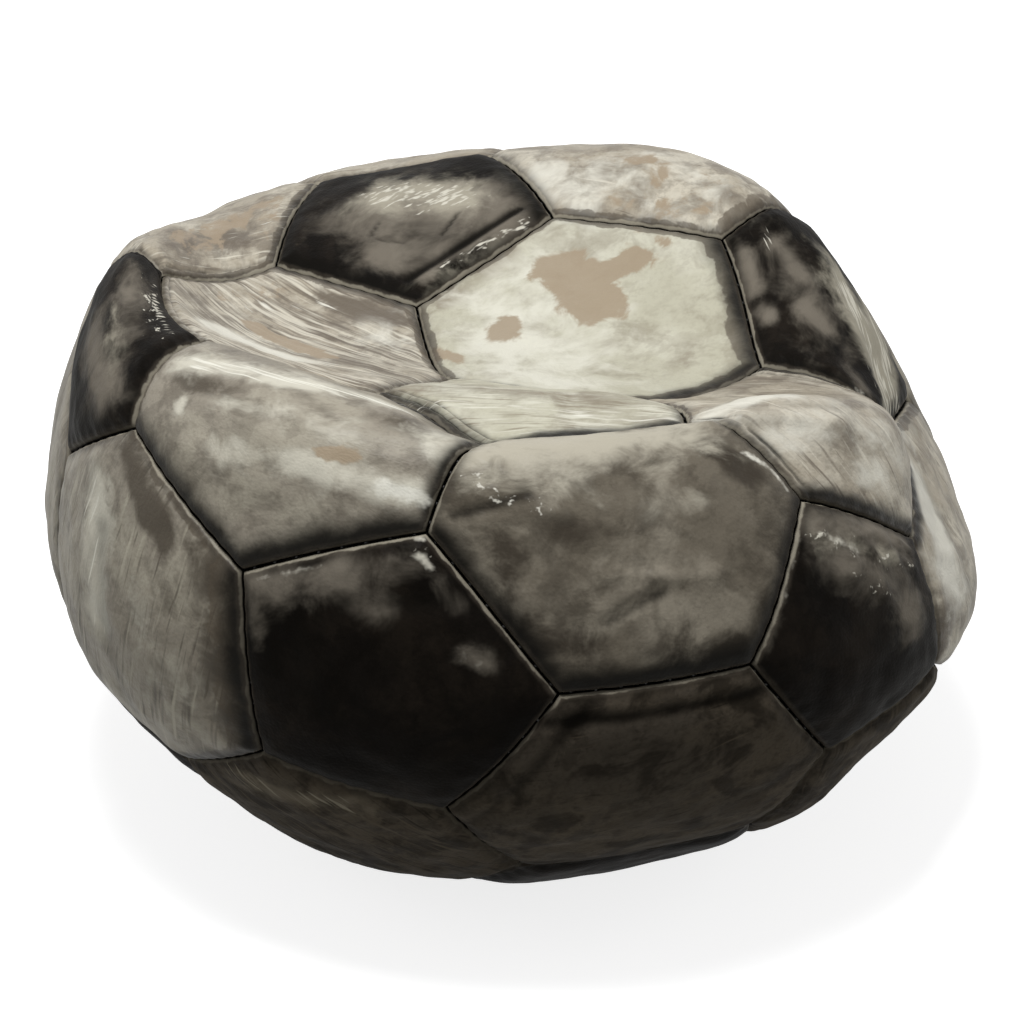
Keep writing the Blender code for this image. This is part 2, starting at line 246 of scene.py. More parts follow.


# ---------------------------------------------------------------- wear, painted shade and painted highlights
# An arc on the round ball as it lies: its two ends as (azimuth, height) and the width to either
# side, in degrees, then its strength. One degree is 1.9 mm of leather.
# Tan marks left by water and rust.
STAINS = {
    "dent floor, above": ((55, 66), (40, 67), 4.6, 1.0),
    "dent floor, arm": ((46, 64), (46, 59), 2.6, 0.9),
    "dent floor, upper edge": ((52, 55), (44, 54), 1.6, 0.5),
    "dent floor, drop": ((50, 78), (43, 80), 2.4, 0.8),
    "dent floor, near corner": ((165, 88), (-30, 88), 2.2, 0.8),
    "left of the dent": ((179, 62), (-160, 71), 2.2, 1.0),
    "left of the dent, above": ((168, 54), (157, 60), 2.4, 0.4),
    "lip, left": ((-112.5, 29.5), (-109, 30), 1.6, 0.75),
    "back rim, left": ((158, 42), (138, 43), 7.0, 0.48),
    "back rim, right": ((62, 45), (46, 44), 5.0, 0.42),
    "back rim, right, below": ((60, 52), (50, 50), 2.6, 0.38),
}
# Darker patches, rubbed in by hand and ground, and painted shade on the low part of the lip.
SMUDGES_AND_SHADE = {
    "lip, right shoulder": ((-64, 36), (-57, 27), 2.8, 0.9),
    "lip, by the right seam": ((-57, 22), (-60, 12), 4.0, 0.45),
    "lip, middle": ((-84, 22), (-74, 23), 4.0, 0.5),
    "lip, left": ((-92, 20), (-91, 15), 2.6, 0.7),
    # Painted shade: the low part of the lip, which faces away from the light.
    "lip, low": ((-88, 10), (-66, 6), 4.0, 0.6),
    "lip left, by the front": ((-104, 41), (-100, 37), 3.4, 0.7),
    "lip left, by the rim": ((-139, 34), (-129, 35), 2.4, 0.85),
    "lip left, beside the oval": ((-104, 31), (-100, 33), 2.6, 0.5),
    "left side, towards the front": ((-127, 12), (-124, -6), 4.0, 0.7),
    "left side, top": ((-144, 20.5), (-137, 15), 2.6, 0.9),
    "rim back left": ((166, 40), (148, 46), 6.0, 0.7),
    "rim back right": ((42, 41), (38, 39), 3.0, 0.7),
    "dent left, upper edge": ((146, 68), (128, 79), 2.8, 0.85),
    "dent left, by the rim": ((180, 52), (-172, 54), 2.6, 0.6),
    "dent floor, upper left edge": ((102, 77), (78, 66), 2.6, 0.75),
    "dent floor, right": ((22, 54), (2, 60), 4.0, 0.35),
    "right of the fold, upper edge": ((-30, 44), (-24, 36), 2.6, 0.6),
    "right of the fold, low": ((-42, 24), (-34, 20), 2.4, 0.3),
    "right side, low": ((-22, 2), (-28, -8), 4.0, 0.8),
    "fold": ((-116, 60), (-70, 58), 5.0, 0.55),
    "left side, middle": ((-138, 17), (-134.5, 13), 2.6, 0.8),
    "lip, upper blotch": ((-84, 30), (-78, 29), 3.0, 0.45),
}
# Coat worn to a paler shade, softly. Several arcs are also painted highlights, where the leather
# faces the light: the lip's upper edges, shoulder, middle and front, the halo round its crumpling,
# and the tops of the right fold and of the front right pentagon.
BLEACHED_AND_HIGHLIT = {
    "lip left, upper edge": ((-140, 37), (-108, 46), 3.4, 0.95),
    "lip left, shoulder": ((-136, 30.5), (-135.5, 29), 1.1, 1.0),
    "lip left, middle": ((-126, 25), (-108, 26), 3.6, 0.38),
    "lip, upper edge": ((-94, 35.5), (-66, 36.5), 6.6, 1.15),
    "lip, upper left": ((-95, 31), (-86, 29), 3.6, 0.75),
    "lip, middle": ((-78, 26), (-68, 24), 3.0, 0.4),
    "dent left, near the rim": ((-164, 55), (-150, 62), 3.6, 1.6),
    "dent left, towards the fold": ((165, 80), (150, 84), 4.0, 0.6),
    "dent back, middle": ((112, 52), (94, 55), 4.6, 1.05),
    "rim right, outer": ((21, 29), (5, 24.5), 5.2, 1.4),
    "fold right, upper edge": ((-58, 42), (-42, 43), 3.8, 1.15),
    "fold right, middle": ((-46, 33), (-28, 29), 7.0, 0.45),
    "back rim, right": ((80, 50), (66, 54), 5.0, 0.85),
    "right side": ((-9, 19), (-18, 6), 7.0, 1.1),
    "belly front, upper edge": ((-84, 2.5), (-66, 3.5), 1.4, 0.4),
    "lip left, above the middle": ((-128, 34), (-112, 34), 3.6, 0.6),
    "left side": ((-148, 14), (-147, 0), 3.6, 0.95),
    "rim left": ((-164, 34), (-156, 28), 5.0, 0.22),
    "rim right, outer edge": ((21, 22.5), (7, 21.5), 3.6, 1.3),
    "belly left": ((-126, -19), (-110, -18), 3.5, 0.7),
    "front right, top": ((-49, 16.5), (-36, 12.5), 2.0, 0.5),
    "lip left, above the front": ((-116, 27), (-101, 26), 2.6, 0.95),
    "dent floor, middle": ((60, 74), (-20, 76), 12.0, 0.85),
    "back rim, right, all over": ((66, 48), (48, 45), 9.0, 0.45),
    "left side, low": ((-139, 3), (-131, -5), 5.0, 0.38),
    "fold right, right end": ((-37, 25), (-31, 25), 3.6, 0.6),
}
# Black leather rubbed to a dull grey brown, and painted sheen on the tops of the two front
# pentagons.
RUBBED_AND_SHEEN = {
    "rim right, top": ((28.5, 41), (22, 39), 2.8, 0.9),
    "rim right, by the dent": ((16, 48), (14, 47), 2.0, 0.9),
    "rim right, middle": ((14, 41), (10.5, 37.5), 2.8, 0.9),
    "rim right, low": ((2, 34), (-4, 32), 3.0, 0.7),
    "rim left, upper": ((-172, 38), (-158, 33), 5.5, 0.62),
    "rim left, lower": ((-166, 26), (-152, 26), 4.6, 0.9),
    # Painted sheen as well: the top of the front left pentagon.
    "front left, top": ((-121, 12), (-110, 14.5), 3.2, 0.8),
    "front left, blotch": ((-108, 12), (-106, 12), 2.6, 0.6),
    "front left, right blotch": ((-98.5, 15), (-97, 13), 1.8, 0.5),
    "front left, low blotch": ((-96, 7), (-94, 6.5), 1.6, 0.45),
    "front left, left edge": ((-121, 11), (-120, 5), 1.6, 0.5),
    # Painted sheen as well: the top of the front right pentagon, over its crumpling.
    "front right, top": ((-49.5, 19), (-32, 14), 3.4, 1.0),
    "front right, left edge": ((-52, 20), (-60.5, 6), 1.2, 0.9),
    "front right, middle": ((-46, 14), (-36, 10), 4.4, 0.78),
    "dent back, middle": ((110, 55), (86, 57), 7.2, 1.0),
    "dent back, towards the dent floor": ((116, 64), (98, 66), 4.5, 1.0),
    "dent back, right": ((92, 62), (84, 58), 3.0, 0.8),
    "rim right, edge by the dent": ((30, 46.5), (22, 48), 2.0, 1.0),
    "dent back, beside the dent floor": ((106, 70.5), (82, 60), 1.6, 1.0),
    "front left, top right": ((-110, 14.5), (-102, 17), 2.4, 0.55),
    "front right, right": ((-38, 11), (-34, 3), 4.0, 0.8),
    "dent back, thinly all over": ((113, 58), (84, 60), 9.5, 0.85),
    "rim right, thinly all over": ((24, 40), (6, 38), 7.0, 0.4),
}
# Finish worn through to pale fibre, in fine scuffs along the stretch of the leather.
SCUFFS = {
    "dent back, middle": ((112, 52), (96, 55), 4.6, 1.1),
    "dent back, by the dent floor": ((99, 69), (77, 60), 1.1, 1.0),
    "rim right, outer": ((21, 29), (4, 24.5), 5.0, 1.2),
    "rim right, outer edge": ((22, 22.5), (8, 21.5), 3.4, 1.2),
    "rim right, top": ((32, 41), (28, 43), 1.2, 0.9),
    "rim left, upper edge": ((-173, 43), (-154, 41), 1.4, 1.0),
    "rim left, middle": ((-160, 34), (-156, 30), 3.0, 0.6),
    "lip left, top": ((-138, 38), (-104, 46), 3.6, 1.05),
    "lip, upper edge": ((-94, 42), (-66, 42), 1.4, 0.8),
    "fold right, top": ((-54, 44), (-38, 42), 5.0, 0.85),
    "dent left": ((-166, 58), (-148, 68), 6.0, 1.1),
    "dent left, above": ((170, 58), (150, 68), 4.0, 0.9),
    "fold, near edge": ((-110, 55), (-60, 47), 1.8, 1.0),
    "right side": ((-6, 18), (-14, 4), 5.0, 0.9),
    "back rim, left": ((165, 44), (135, 46), 6.0, 0.6),
    "left side": ((-150, 14), (-147, -2), 3.6, 0.95),
    "belly left": ((-128, -18), (-112, -18), 3.0, 1.05),
}
# Painted highlights and glints on proud spots and edges, also rubbed to a bright bare shine.
BARE_SPOTS_AND_GLINTS = {
    "lip left, above the front": ((-105, 26), (-101, 25.5), 1.5, 1.4),
    "lip left, towards the front": ((-112, 25.5), (-107, 26), 1.2, 0.4),
    "lip, right edge, upper": ((-56, 30.5), (-52.5, 27), 0.7, 1.0),
    "lip, right edge, lower": ((-52.5, 27), (-51.5, 24), 0.5, 0.8),
    "front left, corner": ((-101, 18), (-100, 17), 0.75, 1.15),
    "front left, upper edge": ((-120.5, 12), (-112.5, 15), 0.35, 0.62),
    "front left, low": ((-96, 7), (-94.5, 6.5), 1.3, 0.3),
    "front right, upper edge": ((-49, 17.5), (-43, 14.5), 0.8, 0.85),
    "front right, left edge": ((-51.5, 18), (-57, 10), 0.5, 0.5),
    "rim right, by the fold": ((-2, 33), (-4, 36), 1.0, 0.8),
    "front left, corner rim": ((-101.5, 20), (-100.5, 20), 0.5, 1.1),
}
# Fine crumpling of slack leather, with its height in millimetres as the strength.
CRUMPLES = {
    "lip, upper left": ((-95, 30), (-87, 24), 4.5, 1.0),
    "lip left, above the front": ((-106, 26), (-100, 28), 3.0, 0.4),
    "front right, upper edge": ((-49, 18), (-33, 13), 3.4, 1.0),
    "front right, middle": ((-45, 13), (-41, 9), 3.0, 1.2),
    "front left, upper right": ((-103, 18), (-99, 19), 2.4, 1.1),
    "front left, middle": ((-112, 8), (-100, 10), 6.0, 0.35),
    "front left, low": ((-98, 8), (-94, 6), 3.0, 0.5),
    "lip, middle": ((-84, 14), (-72, 18), 7.0, 0.4),
    "dent left, far corner": ((120, 84), (150, 80), 5.0, 0.6),
    "dent back, by the dent floor": ((104, 73), (74, 61), 2.6, 0.6),
    "belly front": ((-85, -14), (-65, -16), 9.0, 0.35),
    "back, below the rim": ((90, 18), (120, 16), 8.0, 0.6),
}
# Painted glints on the crests of that crumpling, worn pale as well.
GLINTS_ON_CRESTS = {
    "lip, upper left": ((-94, 30), (-91.5, 26), 2.0, 1.3),
    "lip, upper left, below": ((-91.5, 26), (-86.5, 25), 1.8, 1.2),
    "front left, upper right": ((-101.5, 18.5), (-100, 17.5), 1.4, 1.0),
    "front right, upper left": ((-49, 17.5), (-43, 14), 2.0, 1.5),
    "front right, upper right": ((-43, 14), (-31, 11.5), 1.8, 1.3),
    "dent back, by the dent floor": ((99, 69), (77, 60), 1.2, 0.8),
    "rim left, upper edge": ((-173, 42), (-153, 39), 3.2, 1.2),
    "front right, middle": ((-45, 12), (-41, 8), 2.6, 0.9),
}
# Raised or sunken lines where the leather has folded sharply or been scratched, with the height
# in millimetres. The sunken ones are painted dark, as gathered dirt and as their shade.
CREASES = {
    "crest of the right fold": ((-58, 38), (-36, 33), 1.6, 0.9),
    "beside that crest": ((-56, 41), (-34, 36), 1.6, -0.25),
    "dent back, along the dent floor": ((113, 70.5), (80, 57.5), 0.8, -0.8),
    "lip, under the crumpling": ((-97, 23.5), (-88, 27), 0.9, -0.6),
    "lip, wrinkle": ((-81, 12.5), (-74, 15.5), 0.8, 0.9),
    "lip, wrinkle above": ((-80, 16.5), (-74, 16), 0.7, 0.8),
    "lip, wrinkle to the right": ((-74, 15.5), (-66, 15), 0.8, 0.7),
    "lip, under the wrinkle": ((-80, 11), (-73, 14), 0.8, -0.45),
    "lip, downwards to the left": ((-76, 17), (-86, 9), 1.5, -0.2),
    "lip left, across": ((-134, 24), (-112, 22), 2.4, 0.5),
    "front left, under the edge": ((-110, 12), (-98, 13), 1.4, -0.4),
    "rim right, lengthwise": ((26, 33), (2, 28), 1.8, 0.7),
    "left side, upright": ((-146, 10), (-144, -14), 2.2, -0.3),
    "right side, upright": ((-4, 16), (-14, -8), 2.2, -0.3),
    "dent back, level scratch": ((117, 61.5), (110, 63.5), 0.4, -0.36),
    "dent back, long scratch": ((99, 63), (95, 59), 0.44, -0.6),
    "dent back, scratch at the top": ((92.5, 53.5), (91.5, 52), 0.42, -0.5),
    "dent back, upright scratch": ((118.5, 60.5), (115, 58), 0.42, -0.48),
}
# Dirt and painted shade where a panel dips under its neighbour, by panel and then by neighbour:
# its width in millimetres and its strength.
EDGE_DIRT_AND_SHADE = {
    "hexagon_lip_left": {
        "pentagon_front_left": (6.3, 1.05), "hexagon_lip_front": (3.6, 1.0),
        "hexagon_side_left": (7.0, 0.9), "pentagon_rim_left": (2.5, 0.5),
        "pentagon_in_fold": (4.0, 0.9)},
    "hexagon_lip_front": {
        "hexagon_belly_front": (9.0, 1.0), "pentagon_front_right": (6.4, 0.85),
        "pentagon_front_left": (7.0, 0.9), "hexagon_fold_right": (3.0, 0.7)},
    "hexagon_fold_right": {
        "pentagon_front_right": (5.5, 1.05), "pentagon_rim_right": (4.5, 0.85),
        "hexagon_side_right": (2.2, 0.5)},
    "hexagon_dent_floor": {
        "pentagon_rim_right": (6.5, 0.85), "hexagon_fold_right": (4.5, 0.9),
        "pentagon_in_fold": (2.5, 0.6), "hexagon_rim_back_right": (3.0, 0.5),
        "pentagon_dent_back": (2.6, 0.5)},
    "hexagon_side_left": {"pentagon_front_left": (7.0, 0.9), "hexagon_belly_left": (6.0, 0.8)},
    "hexagon_dent_left": {
        "pentagon_dent_back": (4.0, 0.7), "hexagon_lip_left": (3.0, 0.7),
        "hexagon_dent_floor": (3.0, 0.7)},
    "hexagon_rim_back_left": {"pentagon_dent_back": (3.5, 0.7)},
    "hexagon_side_right": {"pentagon_rim_right": (5.0, 0.6), "hexagon_fold_right": (6.0, 1.0)},
    "pentagon_dent_back": {
        "hexagon_dent_floor": (3.0, 0.7), "hexagon_dent_left": (5.5, 0.9),
        "hexagon_rim_back_left": (5.0, 0.9), "hexagon_rim_back_right": (7.0, 1.0),
        "hexagon_back": (4.0, 0.9)},
    "pentagon_in_fold": {
        "hexagon_lip_front": (6.0, 1.0), "hexagon_lip_left": (4.0, 0.9),
        "hexagon_fold_right": (3.0, 0.7)},
    "pentagon_rim_right": {"hexagon_side_right": (5.0, 1.0), "hexagon_fold_right": (3.5, 0.9)},
}
# Dirt and painted shade along every other edge.
PLAIN_EDGE_DIRT_AND_SHADE = (3.0, 0.55)   # every other edge
NO_EDGE_GRIME = (1.0, 0.0)
DIRT_AND_SHADE_FALLOFF, GRIME_FALLOFF = 2, 6      # the higher, the clearer the line where it stops
# Grime that stops at a clear line, such as where water stood: its width and strength.
EDGE_GRIME = {
    "hexagon_dent_floor": {
        "pentagon_rim_right": (6.6, 1.0), "hexagon_fold_right": (4.4, 1.0),
        "pentagon_dent_back": (3.4, 0.8), "hexagon_dent_left": (3.0, 0.8),
        "hexagon_rim_back_right": (3.4, 0.9), "pentagon_in_fold": (1.8, 0.7)},
    "hexagon_dent_left": {
        "pentagon_dent_back": (5.4, 1.0), "hexagon_rim_back_left": (3.4, 0.8),
        "hexagon_dent_floor": (4.0, 0.8), "hexagon_lip_left": (1.8, 0.8)},
    "hexagon_fold_right": {
        "pentagon_rim_right": (3.4, 1.0), "pentagon_in_fold": (1.8, 0.7),
        "hexagon_side_right": (3.0, 0.8)},
    "hexagon_rim_back_left": {"hexagon_dent_left": (3.0, 0.8), "pentagon_dent_back": (4.0, 0.8)},
    "hexagon_rim_back_right": {"hexagon_dent_floor": (3.0, 0.7), "pentagon_rim_right": (6.0, 0.8)},
    "hexagon_lip_left": {"pentagon_rim_left": (3.0, 0.6)},
    "hexagon_side_left": {
        "pentagon_front_left": (9.0, 0.9), "hexagon_belly_left": (6.0, 0.8),
        "hexagon_lip_left": (3.0, 0.6)},
    "hexagon_side_right": {"hexagon_fold_right": (2.4, 0.7), "pentagon_rim_right": (4.0, 0.8)},
}
# Folds pressed into a panel along one of its sides: the distance of each from the side, its width
# to either side and its depth, in millimetres.
SEAM_FOLDS = {
    "pentagon_in_fold": {"hexagon_lip_left": ((2.6, 0.5, 0.8), (4.8, 0.5, 0.6))},
    "hexagon_lip_left": {"pentagon_in_fold": ((2.6, 0.5, 0.6),)},
    "hexagon_fold_right": {
        "pentagon_rim_right": ((3.4, 0.6, 0.9), (6.2, 0.5, 0.5)),
        "hexagon_lip_front": ((3.0, 0.6, 0.7),), "hexagon_side_right": ((3.0, 0.5, 0.5),)},
    "hexagon_dent_left": {"pentagon_rim_left": ((2.8, 0.5, 0.5),)},
    "hexagon_rim_back_left": {"hexagon_dent_left": ((3.0, 0.5, 0.5),)},
    "hexagon_belly_front": {
        "hexagon_lip_front": ((7.8, 2.2, 0.60),), "pentagon_front_left": ((7.8, 2.2, 0.40),)},
    "pentagon_rim_left": {"hexagon_rim_back_left": ((2.6, 0.5, 0.5), (4.6, 0.5, 0.4))},
}
# Leather that has stretched shows streaks: their turn from level, in degrees, their strength,
# and how many times longer than wide they are.
STREAKS = {
    "hexagon_dent_left": (-28.0, 0.95, 14.0),
    "hexagon_fold_right": (-28.0, 0.68, 11.0),
    "pentagon_in_fold": (-6.0, 0.84, 9.0),
    "hexagon_lip_left": (-14.0, 0.35, 14.0),
    "hexagon_rim_back_left": (16.0, 0.7, 12.0),
    "hexagon_rim_back_right": (-10.0, 0.5, 10.0),
    "hexagon_side_left": (72.0, 0.7, 12.0),
    "hexagon_side_right": (82.0, 0.65, 9.0),
    "hexagon_back": (4.0, 0.6, 12.0),
    "hexagon_belly_left": (-34.0, 0.75, 11.0),
    "hexagon_belly_front": (8.0, 0.5, 12.0),
    "hexagon_belly_right": (48.0, 0.7, 12.0),
    "pentagon_rim_right": (-58.0, 0.4, 6.0),
    "pentagon_rim_left": (20.0, 0.3, 5.0),
    "pentagon_dent_back": (38.0, 0.1, 3.0),
    "hexagon_side_back_left": (66.0, 0.6, 12.0),
    "hexagon_side_back_right": (-64.0, 0.6, 12.0),
}
PLAIN_STREAKS = (0.0, 0.15, 6.0)        # every other panel

# The wear, painted shade and painted highlights that lie along arcs, by the name of their mesh
# attribute.
ARCS_OF_WEAR_AND_PAINTED_LIGHT = {
    "stain": STAINS, "smudge": SMUDGES_AND_SHADE, "bleached": BLEACHED_AND_HIGHLIT, "rubbed": RUBBED_AND_SHEEN,
    "scuff": SCUFFS, "bare": BARE_SPOTS_AND_GLINTS,
}

# ---------------------------------------------------------------- leather
# Full-grain cowhide under a coat of pigmented finish: the sRGB colours of its paler and darker
# patches, of where it has worn and of its painted highlights, of its scuffs and painted glints,
# and of where it has rubbed thin and of its painted sheen, its roughness, how clearly its patches
# show, and its gloss. The colour of the finish itself is among the settings below, with those of
# the dirt and of the painted shade.
Leather = namedtuple("Leather", "light dark worn scuff rubbed roughness mottle gloss")
SHADES = ("light", "dark", "worn", "scuff", "rubbed")
LEATHERS = {
    "pale": Leather("D9D7C8", "8A8170", "DEDCCE", "E6E4D8", "A39C8A", 0.42, 0.60, 0.12),
    "scuffed": Leather("D6D0C0", "6A6155", "E2DFD2", "E8E5D9", "8F8677", 0.40, 0.85, 0.12),
    "grey": Leather("B0AA9A", "554E44", "D2CEBF", "E9E7DB", "7A7266", 0.38, 0.70, 0.09),
    "brown": Leather("A59E8F", "3D372F", "BAB4A4", "E6E3D7", "6A6257", 0.38, 0.60, 0.07),
    # The low panels' leather: dark with grime and with painted shade towards the floor.
    "grimy": Leather("544C41", "1D1914", "6F675A", "8D8677", "554E44", 0.60, 1.00, 0.02),
    "black": Leather("201B16", "080604", "ABA595", "DAD6C8", "7B7469", 0.48, 1.00, 0.03),
}
COLOURS_FROM_SETTINGS = ("stain", "dirt", "grime", "turned_edge", "groove", "lip")    # colours from the settings
LEATHER_IOR = 1.50              # with a gloss of 0.5 on clean leather: grime and dry wax dull it

# A layer of the finish, of its soiling, or of its painted shade and highlights: the mesh attribute
# that says where it lies (None: all over), the coordinates and the size in millimetres of the
# pattern that breaks it up, how far that pattern moves its edge, between which values it fades in,
# its colour and its strength, and an attribute that limits its strength. Clouds are as broad as
# the hide shows them, 7 to 34 mm; streaks and scuffs are 1 to 3 mm wide, as coarse as they need to
# show.
Layer = namedtuple("Layer", "where coordinates size ragged start full paint strength within",
                   defaults=(None,))
MASK_KINDS = ("streak", "smudge", "rubbed", "stain", "bleached", "dirt", "grime", "scuff", "bare",
              "crest", "seam_mm", "exposed")
LAYERS = (
    Layer(None, "leather_mm", 34.0, 1.0, 0.44, 0.60, "light", 0.75),
    Layer(None, "leather_mm", 15.0, 1.0, 0.48, 0.62, "dark", 0.70),
    Layer(None, "leather_mm", 19.0, 1.0, 0.54, 0.58, "dark", 0.32),
    Layer(None, "leather_mm", 7.0, 1.0, 0.50, 0.70, "dark", 0.40),
    Layer(None, "leather_mm", 1.3, 1.0, 0.46, 0.68, "dark", 0.25),
    Layer("streak", "streak_mm", 3.0, 4.0, 0.95, 1.50, "dark", 0.80),
    Layer("streak", "streak_mm", 1.2, 4.0, 0.95, 1.40, "dark", 0.70),
    Layer("streak", "streak_mm", 1.8, 4.0, 0.92, 1.40, "light", 0.85),
    # Smudges, with painted shade on the low part of the lip.
    Layer("smudge", "leather_mm", 12.0, 1.8, 0.20, 0.80, "dark", 0.95),
    Layer("rubbed", "leather_mm", 14.0, 2.0, 0.10, 1.15, "rubbed", 0.90, "rubbed"),
    # Paler wear, and painted highlights where the leather faces the light.
    Layer("bleached", "leather_mm", 12.0, 2.4, 0.15, 1.10, "worn", 0.92, "bleached"),
    Layer("stain", "leather_mm", 11.0, 1.8, 0.30, 0.55, "stain", 0.90, "stain"),
    Layer("grime", "leather_mm", 9.0, 2.4, 0.40, 0.62, "grime", 0.72, "grime"),
    # Dirt and painted shade along the seams and in the sunken creases.
    Layer("dirt", "leather_mm", 12.0, 0.7, 0.05, 0.90, "dirt", 0.97),
    Layer("scuff", "streak_mm", 1.2, 4.0, 1.00, 1.45, "scuff", 0.88, "scuff"),
    # Painted highlights and glints on proud spots and edges, in the scuff colour.
    Layer("bare", "leather_mm", 3.5, 2.0, 0.35, 1.35, "scuff", 1.00, "bare"),
    # Painted glints on the crests of the crumpling.
    Layer("crest", "leather_mm", 1.3, 3.2, 0.75, 1.30, "scuff", 0.90, "crest"),
    Layer("seam_mm", "leather_mm", 4.0, 1.4, 2.0, 0.6, "turned_edge", 0.20),
    # Worn ridge and painted highlight beside the seams, strongest on the upper sides.
    Layer("seam_mm", "leather_mm", 7.0, 1.9, 0.95, 0.50, "lip", 0.62, "exposed"),
    Layer("seam_mm", "leather_mm", 4.0, 0.2, 0.36, 0.14, "groove", 1.00),
)


def linear_rgb(hex_colour):
    """Linear red, green and blue of an sRGB hex colour."""
    channels = [int(hex_colour[i:i + 2], 16) / 255.0 for i in (0, 2, 4)]
    return [c / 12.92 if c <= 0.04045 else ((c + 0.055) / 1.055) ** 2.4 for c in channels]


# ---------------------------------------------------------------- settings
def colour(name, description, hex_colour):
    """A colour setting with an sRGB hex default."""
    return FloatVectorProperty(name=name, description=description, subtype="COLOR",
                               min=0.0, max=1.0, default=linear_rgb(hex_colour))


class FootballSizes(bpy.types.PropertyGroup):
    """Sizes of the leather, its seams and its wrinkles."""

    leather: FloatProperty(
        name="Leather", description="Thickness of the leather with its cloth backing",
        default=3.0 * MM, min=1.0 * MM, unit="LENGTH")
    crown: FloatProperty(
        name="Crown", description="Height of a panel's middle above the level of its seams",
        default=1.0 * MM, min=0.0, unit="LENGTH")
    seam_depth: FloatProperty(
        name="Seam depth", description="How far the stitches draw a panel's edge in",
        default=2.1 * MM, min=0.0, unit="LENGTH")
    seam_round: FloatProperty(
        name="Seam rounding", description="Width over which a panel rounds down into its seam",
        default=6.0 * MM, min=1.0 * MM, unit="LENGTH")
    seam_gap: FloatProperty(
        name="Seam gap", description="Slot between two panels",
        default=0.3 * MM, min=0.1 * MM, unit="LENGTH")
    lip: FloatProperty(
        name="Lip", description="Height of the ridge where the turned edge ends",
        default=0.12 * MM, min=0.0, unit="LENGTH")
    stitch_spacing: FloatProperty(
        name="Stitch spacing", description="Distance from stitch to stitch",
        default=5.5 * MM, min=2.0 * MM, unit="LENGTH")
    pucker: FloatProperty(
        name="Pucker", description="Depth of the dimple that each stitch pulls",
        default=0.12 * MM, min=0.0, unit="LENGTH")
    thread: FloatProperty(
        name="Thread", description="Thickness of the waxed thread",
        default=0.8 * MM, min=0.2 * MM, unit="LENGTH")
    slack: FloatProperty(
        name="Slack", description="Height of the broad unevenness of slack leather",
        default=1.3 * MM, min=0.0, unit="LENGTH")
    crumple: FloatProperty(
        name="Crumple", description="Height of the fine crumpling, where it is strongest",
        default=1.0 * MM, min=0.0, unit="LENGTH")
    rings: IntProperty(
        name="Rings", description="Rings of faces from a panel's middle to its edge",
        default=44, min=8, max=60)


class FootballColours(bpy.types.PropertyGroup):
    """Colours of the leathers, of what soils them and of their painted shade and highlights, of
    the thread and of the rubber.
    """

    pale: colour("Pale leather", "Finish of the two pale panels in the dent", "BDBAA7")
    scuffed: colour("Scuffed leather", "Finish of the pale, scuffed panels", "ACA392")
    grey: colour("Grey leather", "Finish of the greyed panels", "979083")
    brown: colour("Brown leather", "Finish of the browned front panel", "6E675B")
    # The low panels' darkness is grime and painted shade.
    grimy: colour("Grimy leather", "Finish of the low panels, dark with grime", "48423A")
    black: colour("Black leather", "Finish of the pentagons", "110E0B")
    stain: colour("Stain", "Tan water and rust stains", "A0907A")
    # Dirt, and the painted shade along the seams and in the creases, share this colour.
    dirt: colour("Dirt", "Ground-in dirt", "0D0B08")
    grime: colour("Grime", "Brown grime that stops at a clear line", "5F564A")
    turned_edge: colour("Turned edge", "Leather that turns down into a seam", "6B6257")
    groove: colour("Groove", "Bottom of a seam", "0C0A08")
    # Painted highlight as well as worn finish: it shows most along the panels' upper sides.
    lip: colour("Lip", "Finish worn off the ridge beside a seam", "B9B2A0")
    dust: colour("Dust", "Dry dust on rubber", "6B6257")
    thread: colour("Thread", "Waxed thread, darkened by dirt", "0E0C0A")
    valve_rubber: colour("Valve rubber", "Moulded rubber of the valve", "292420")
    bladder_rubber: colour("Bladder rubber", "Dipped latex of the bladder", "1A1816")


class FootballStudio(bpy.types.PropertyGroup):
    """Camera, lamps and floor."""

    elevation: FloatProperty(
        name="Elevation", description="Height of the camera above the horizon",
        default=math.radians(27.5), subtype="ANGLE")
    distance: FloatProperty(
        name="Distance", description="From the camera to what it looks at",
        default=1.54, min=0.3, unit="LENGTH")
    lens: FloatProperty(
        name="Lens", description="Focal length of the camera in millimetres",
        default=232.0, min=20.0)
    overhead: FloatProperty(
        name="Overhead lamp", description="Power of the softbox above the ball, in watts",
        default=11.0, min=0.0)
    left: FloatProperty(
        name="Left lamp", description="Power of the softbox on the left, in watts",
        default=1.5, min=0.0)
    right: FloatProperty(
        name="Right lamp", description="Power of the softbox on the right, in watts",
        default=1.5, min=0.0)
    room: FloatProperty(
        name="Room light", description="Strength of the light from all round",
        default=0.25, min=0.0)
    floor: colour("Floor", "What the floor sends back on to the ball", "A0A09C")


# ---------------------------------------------------------------- helpers
def add_node(tree, kind, inputs=(), **settings):
    """A shader node with its settings, its inputs given as values or as sockets to link."""
    node = tree.nodes.new(kind)
    for name, value in settings.items():
        setattr(node, name, value)
    for socket, value in dict(inputs).items():
        if isinstance(value, bpy.types.NodeSocket):
            tree.links.new(value, node.inputs[socket])
        else:
            node.inputs[socket].default_value = value
    return node


def new_material(name):
    """An empty node material with its Principled shader linked to the output."""
    material = bpy.data.materials.new(name)
    material.use_nodes = True
    tree = material.node_tree
    tree.nodes.clear()
    shader = add_node(tree, "ShaderNodeBsdfPrincipled")
    add_node(tree, "ShaderNodeOutputMaterial", {"Surface": shader.outputs["BSDF"]})
    return material, tree, shader


def add_object(name, data):
    """An object of a mesh, lamp or camera in the scene."""
    made = bpy.data.objects.new(name, data)
    bpy.context.scene.collection.objects.link(made)
    return made


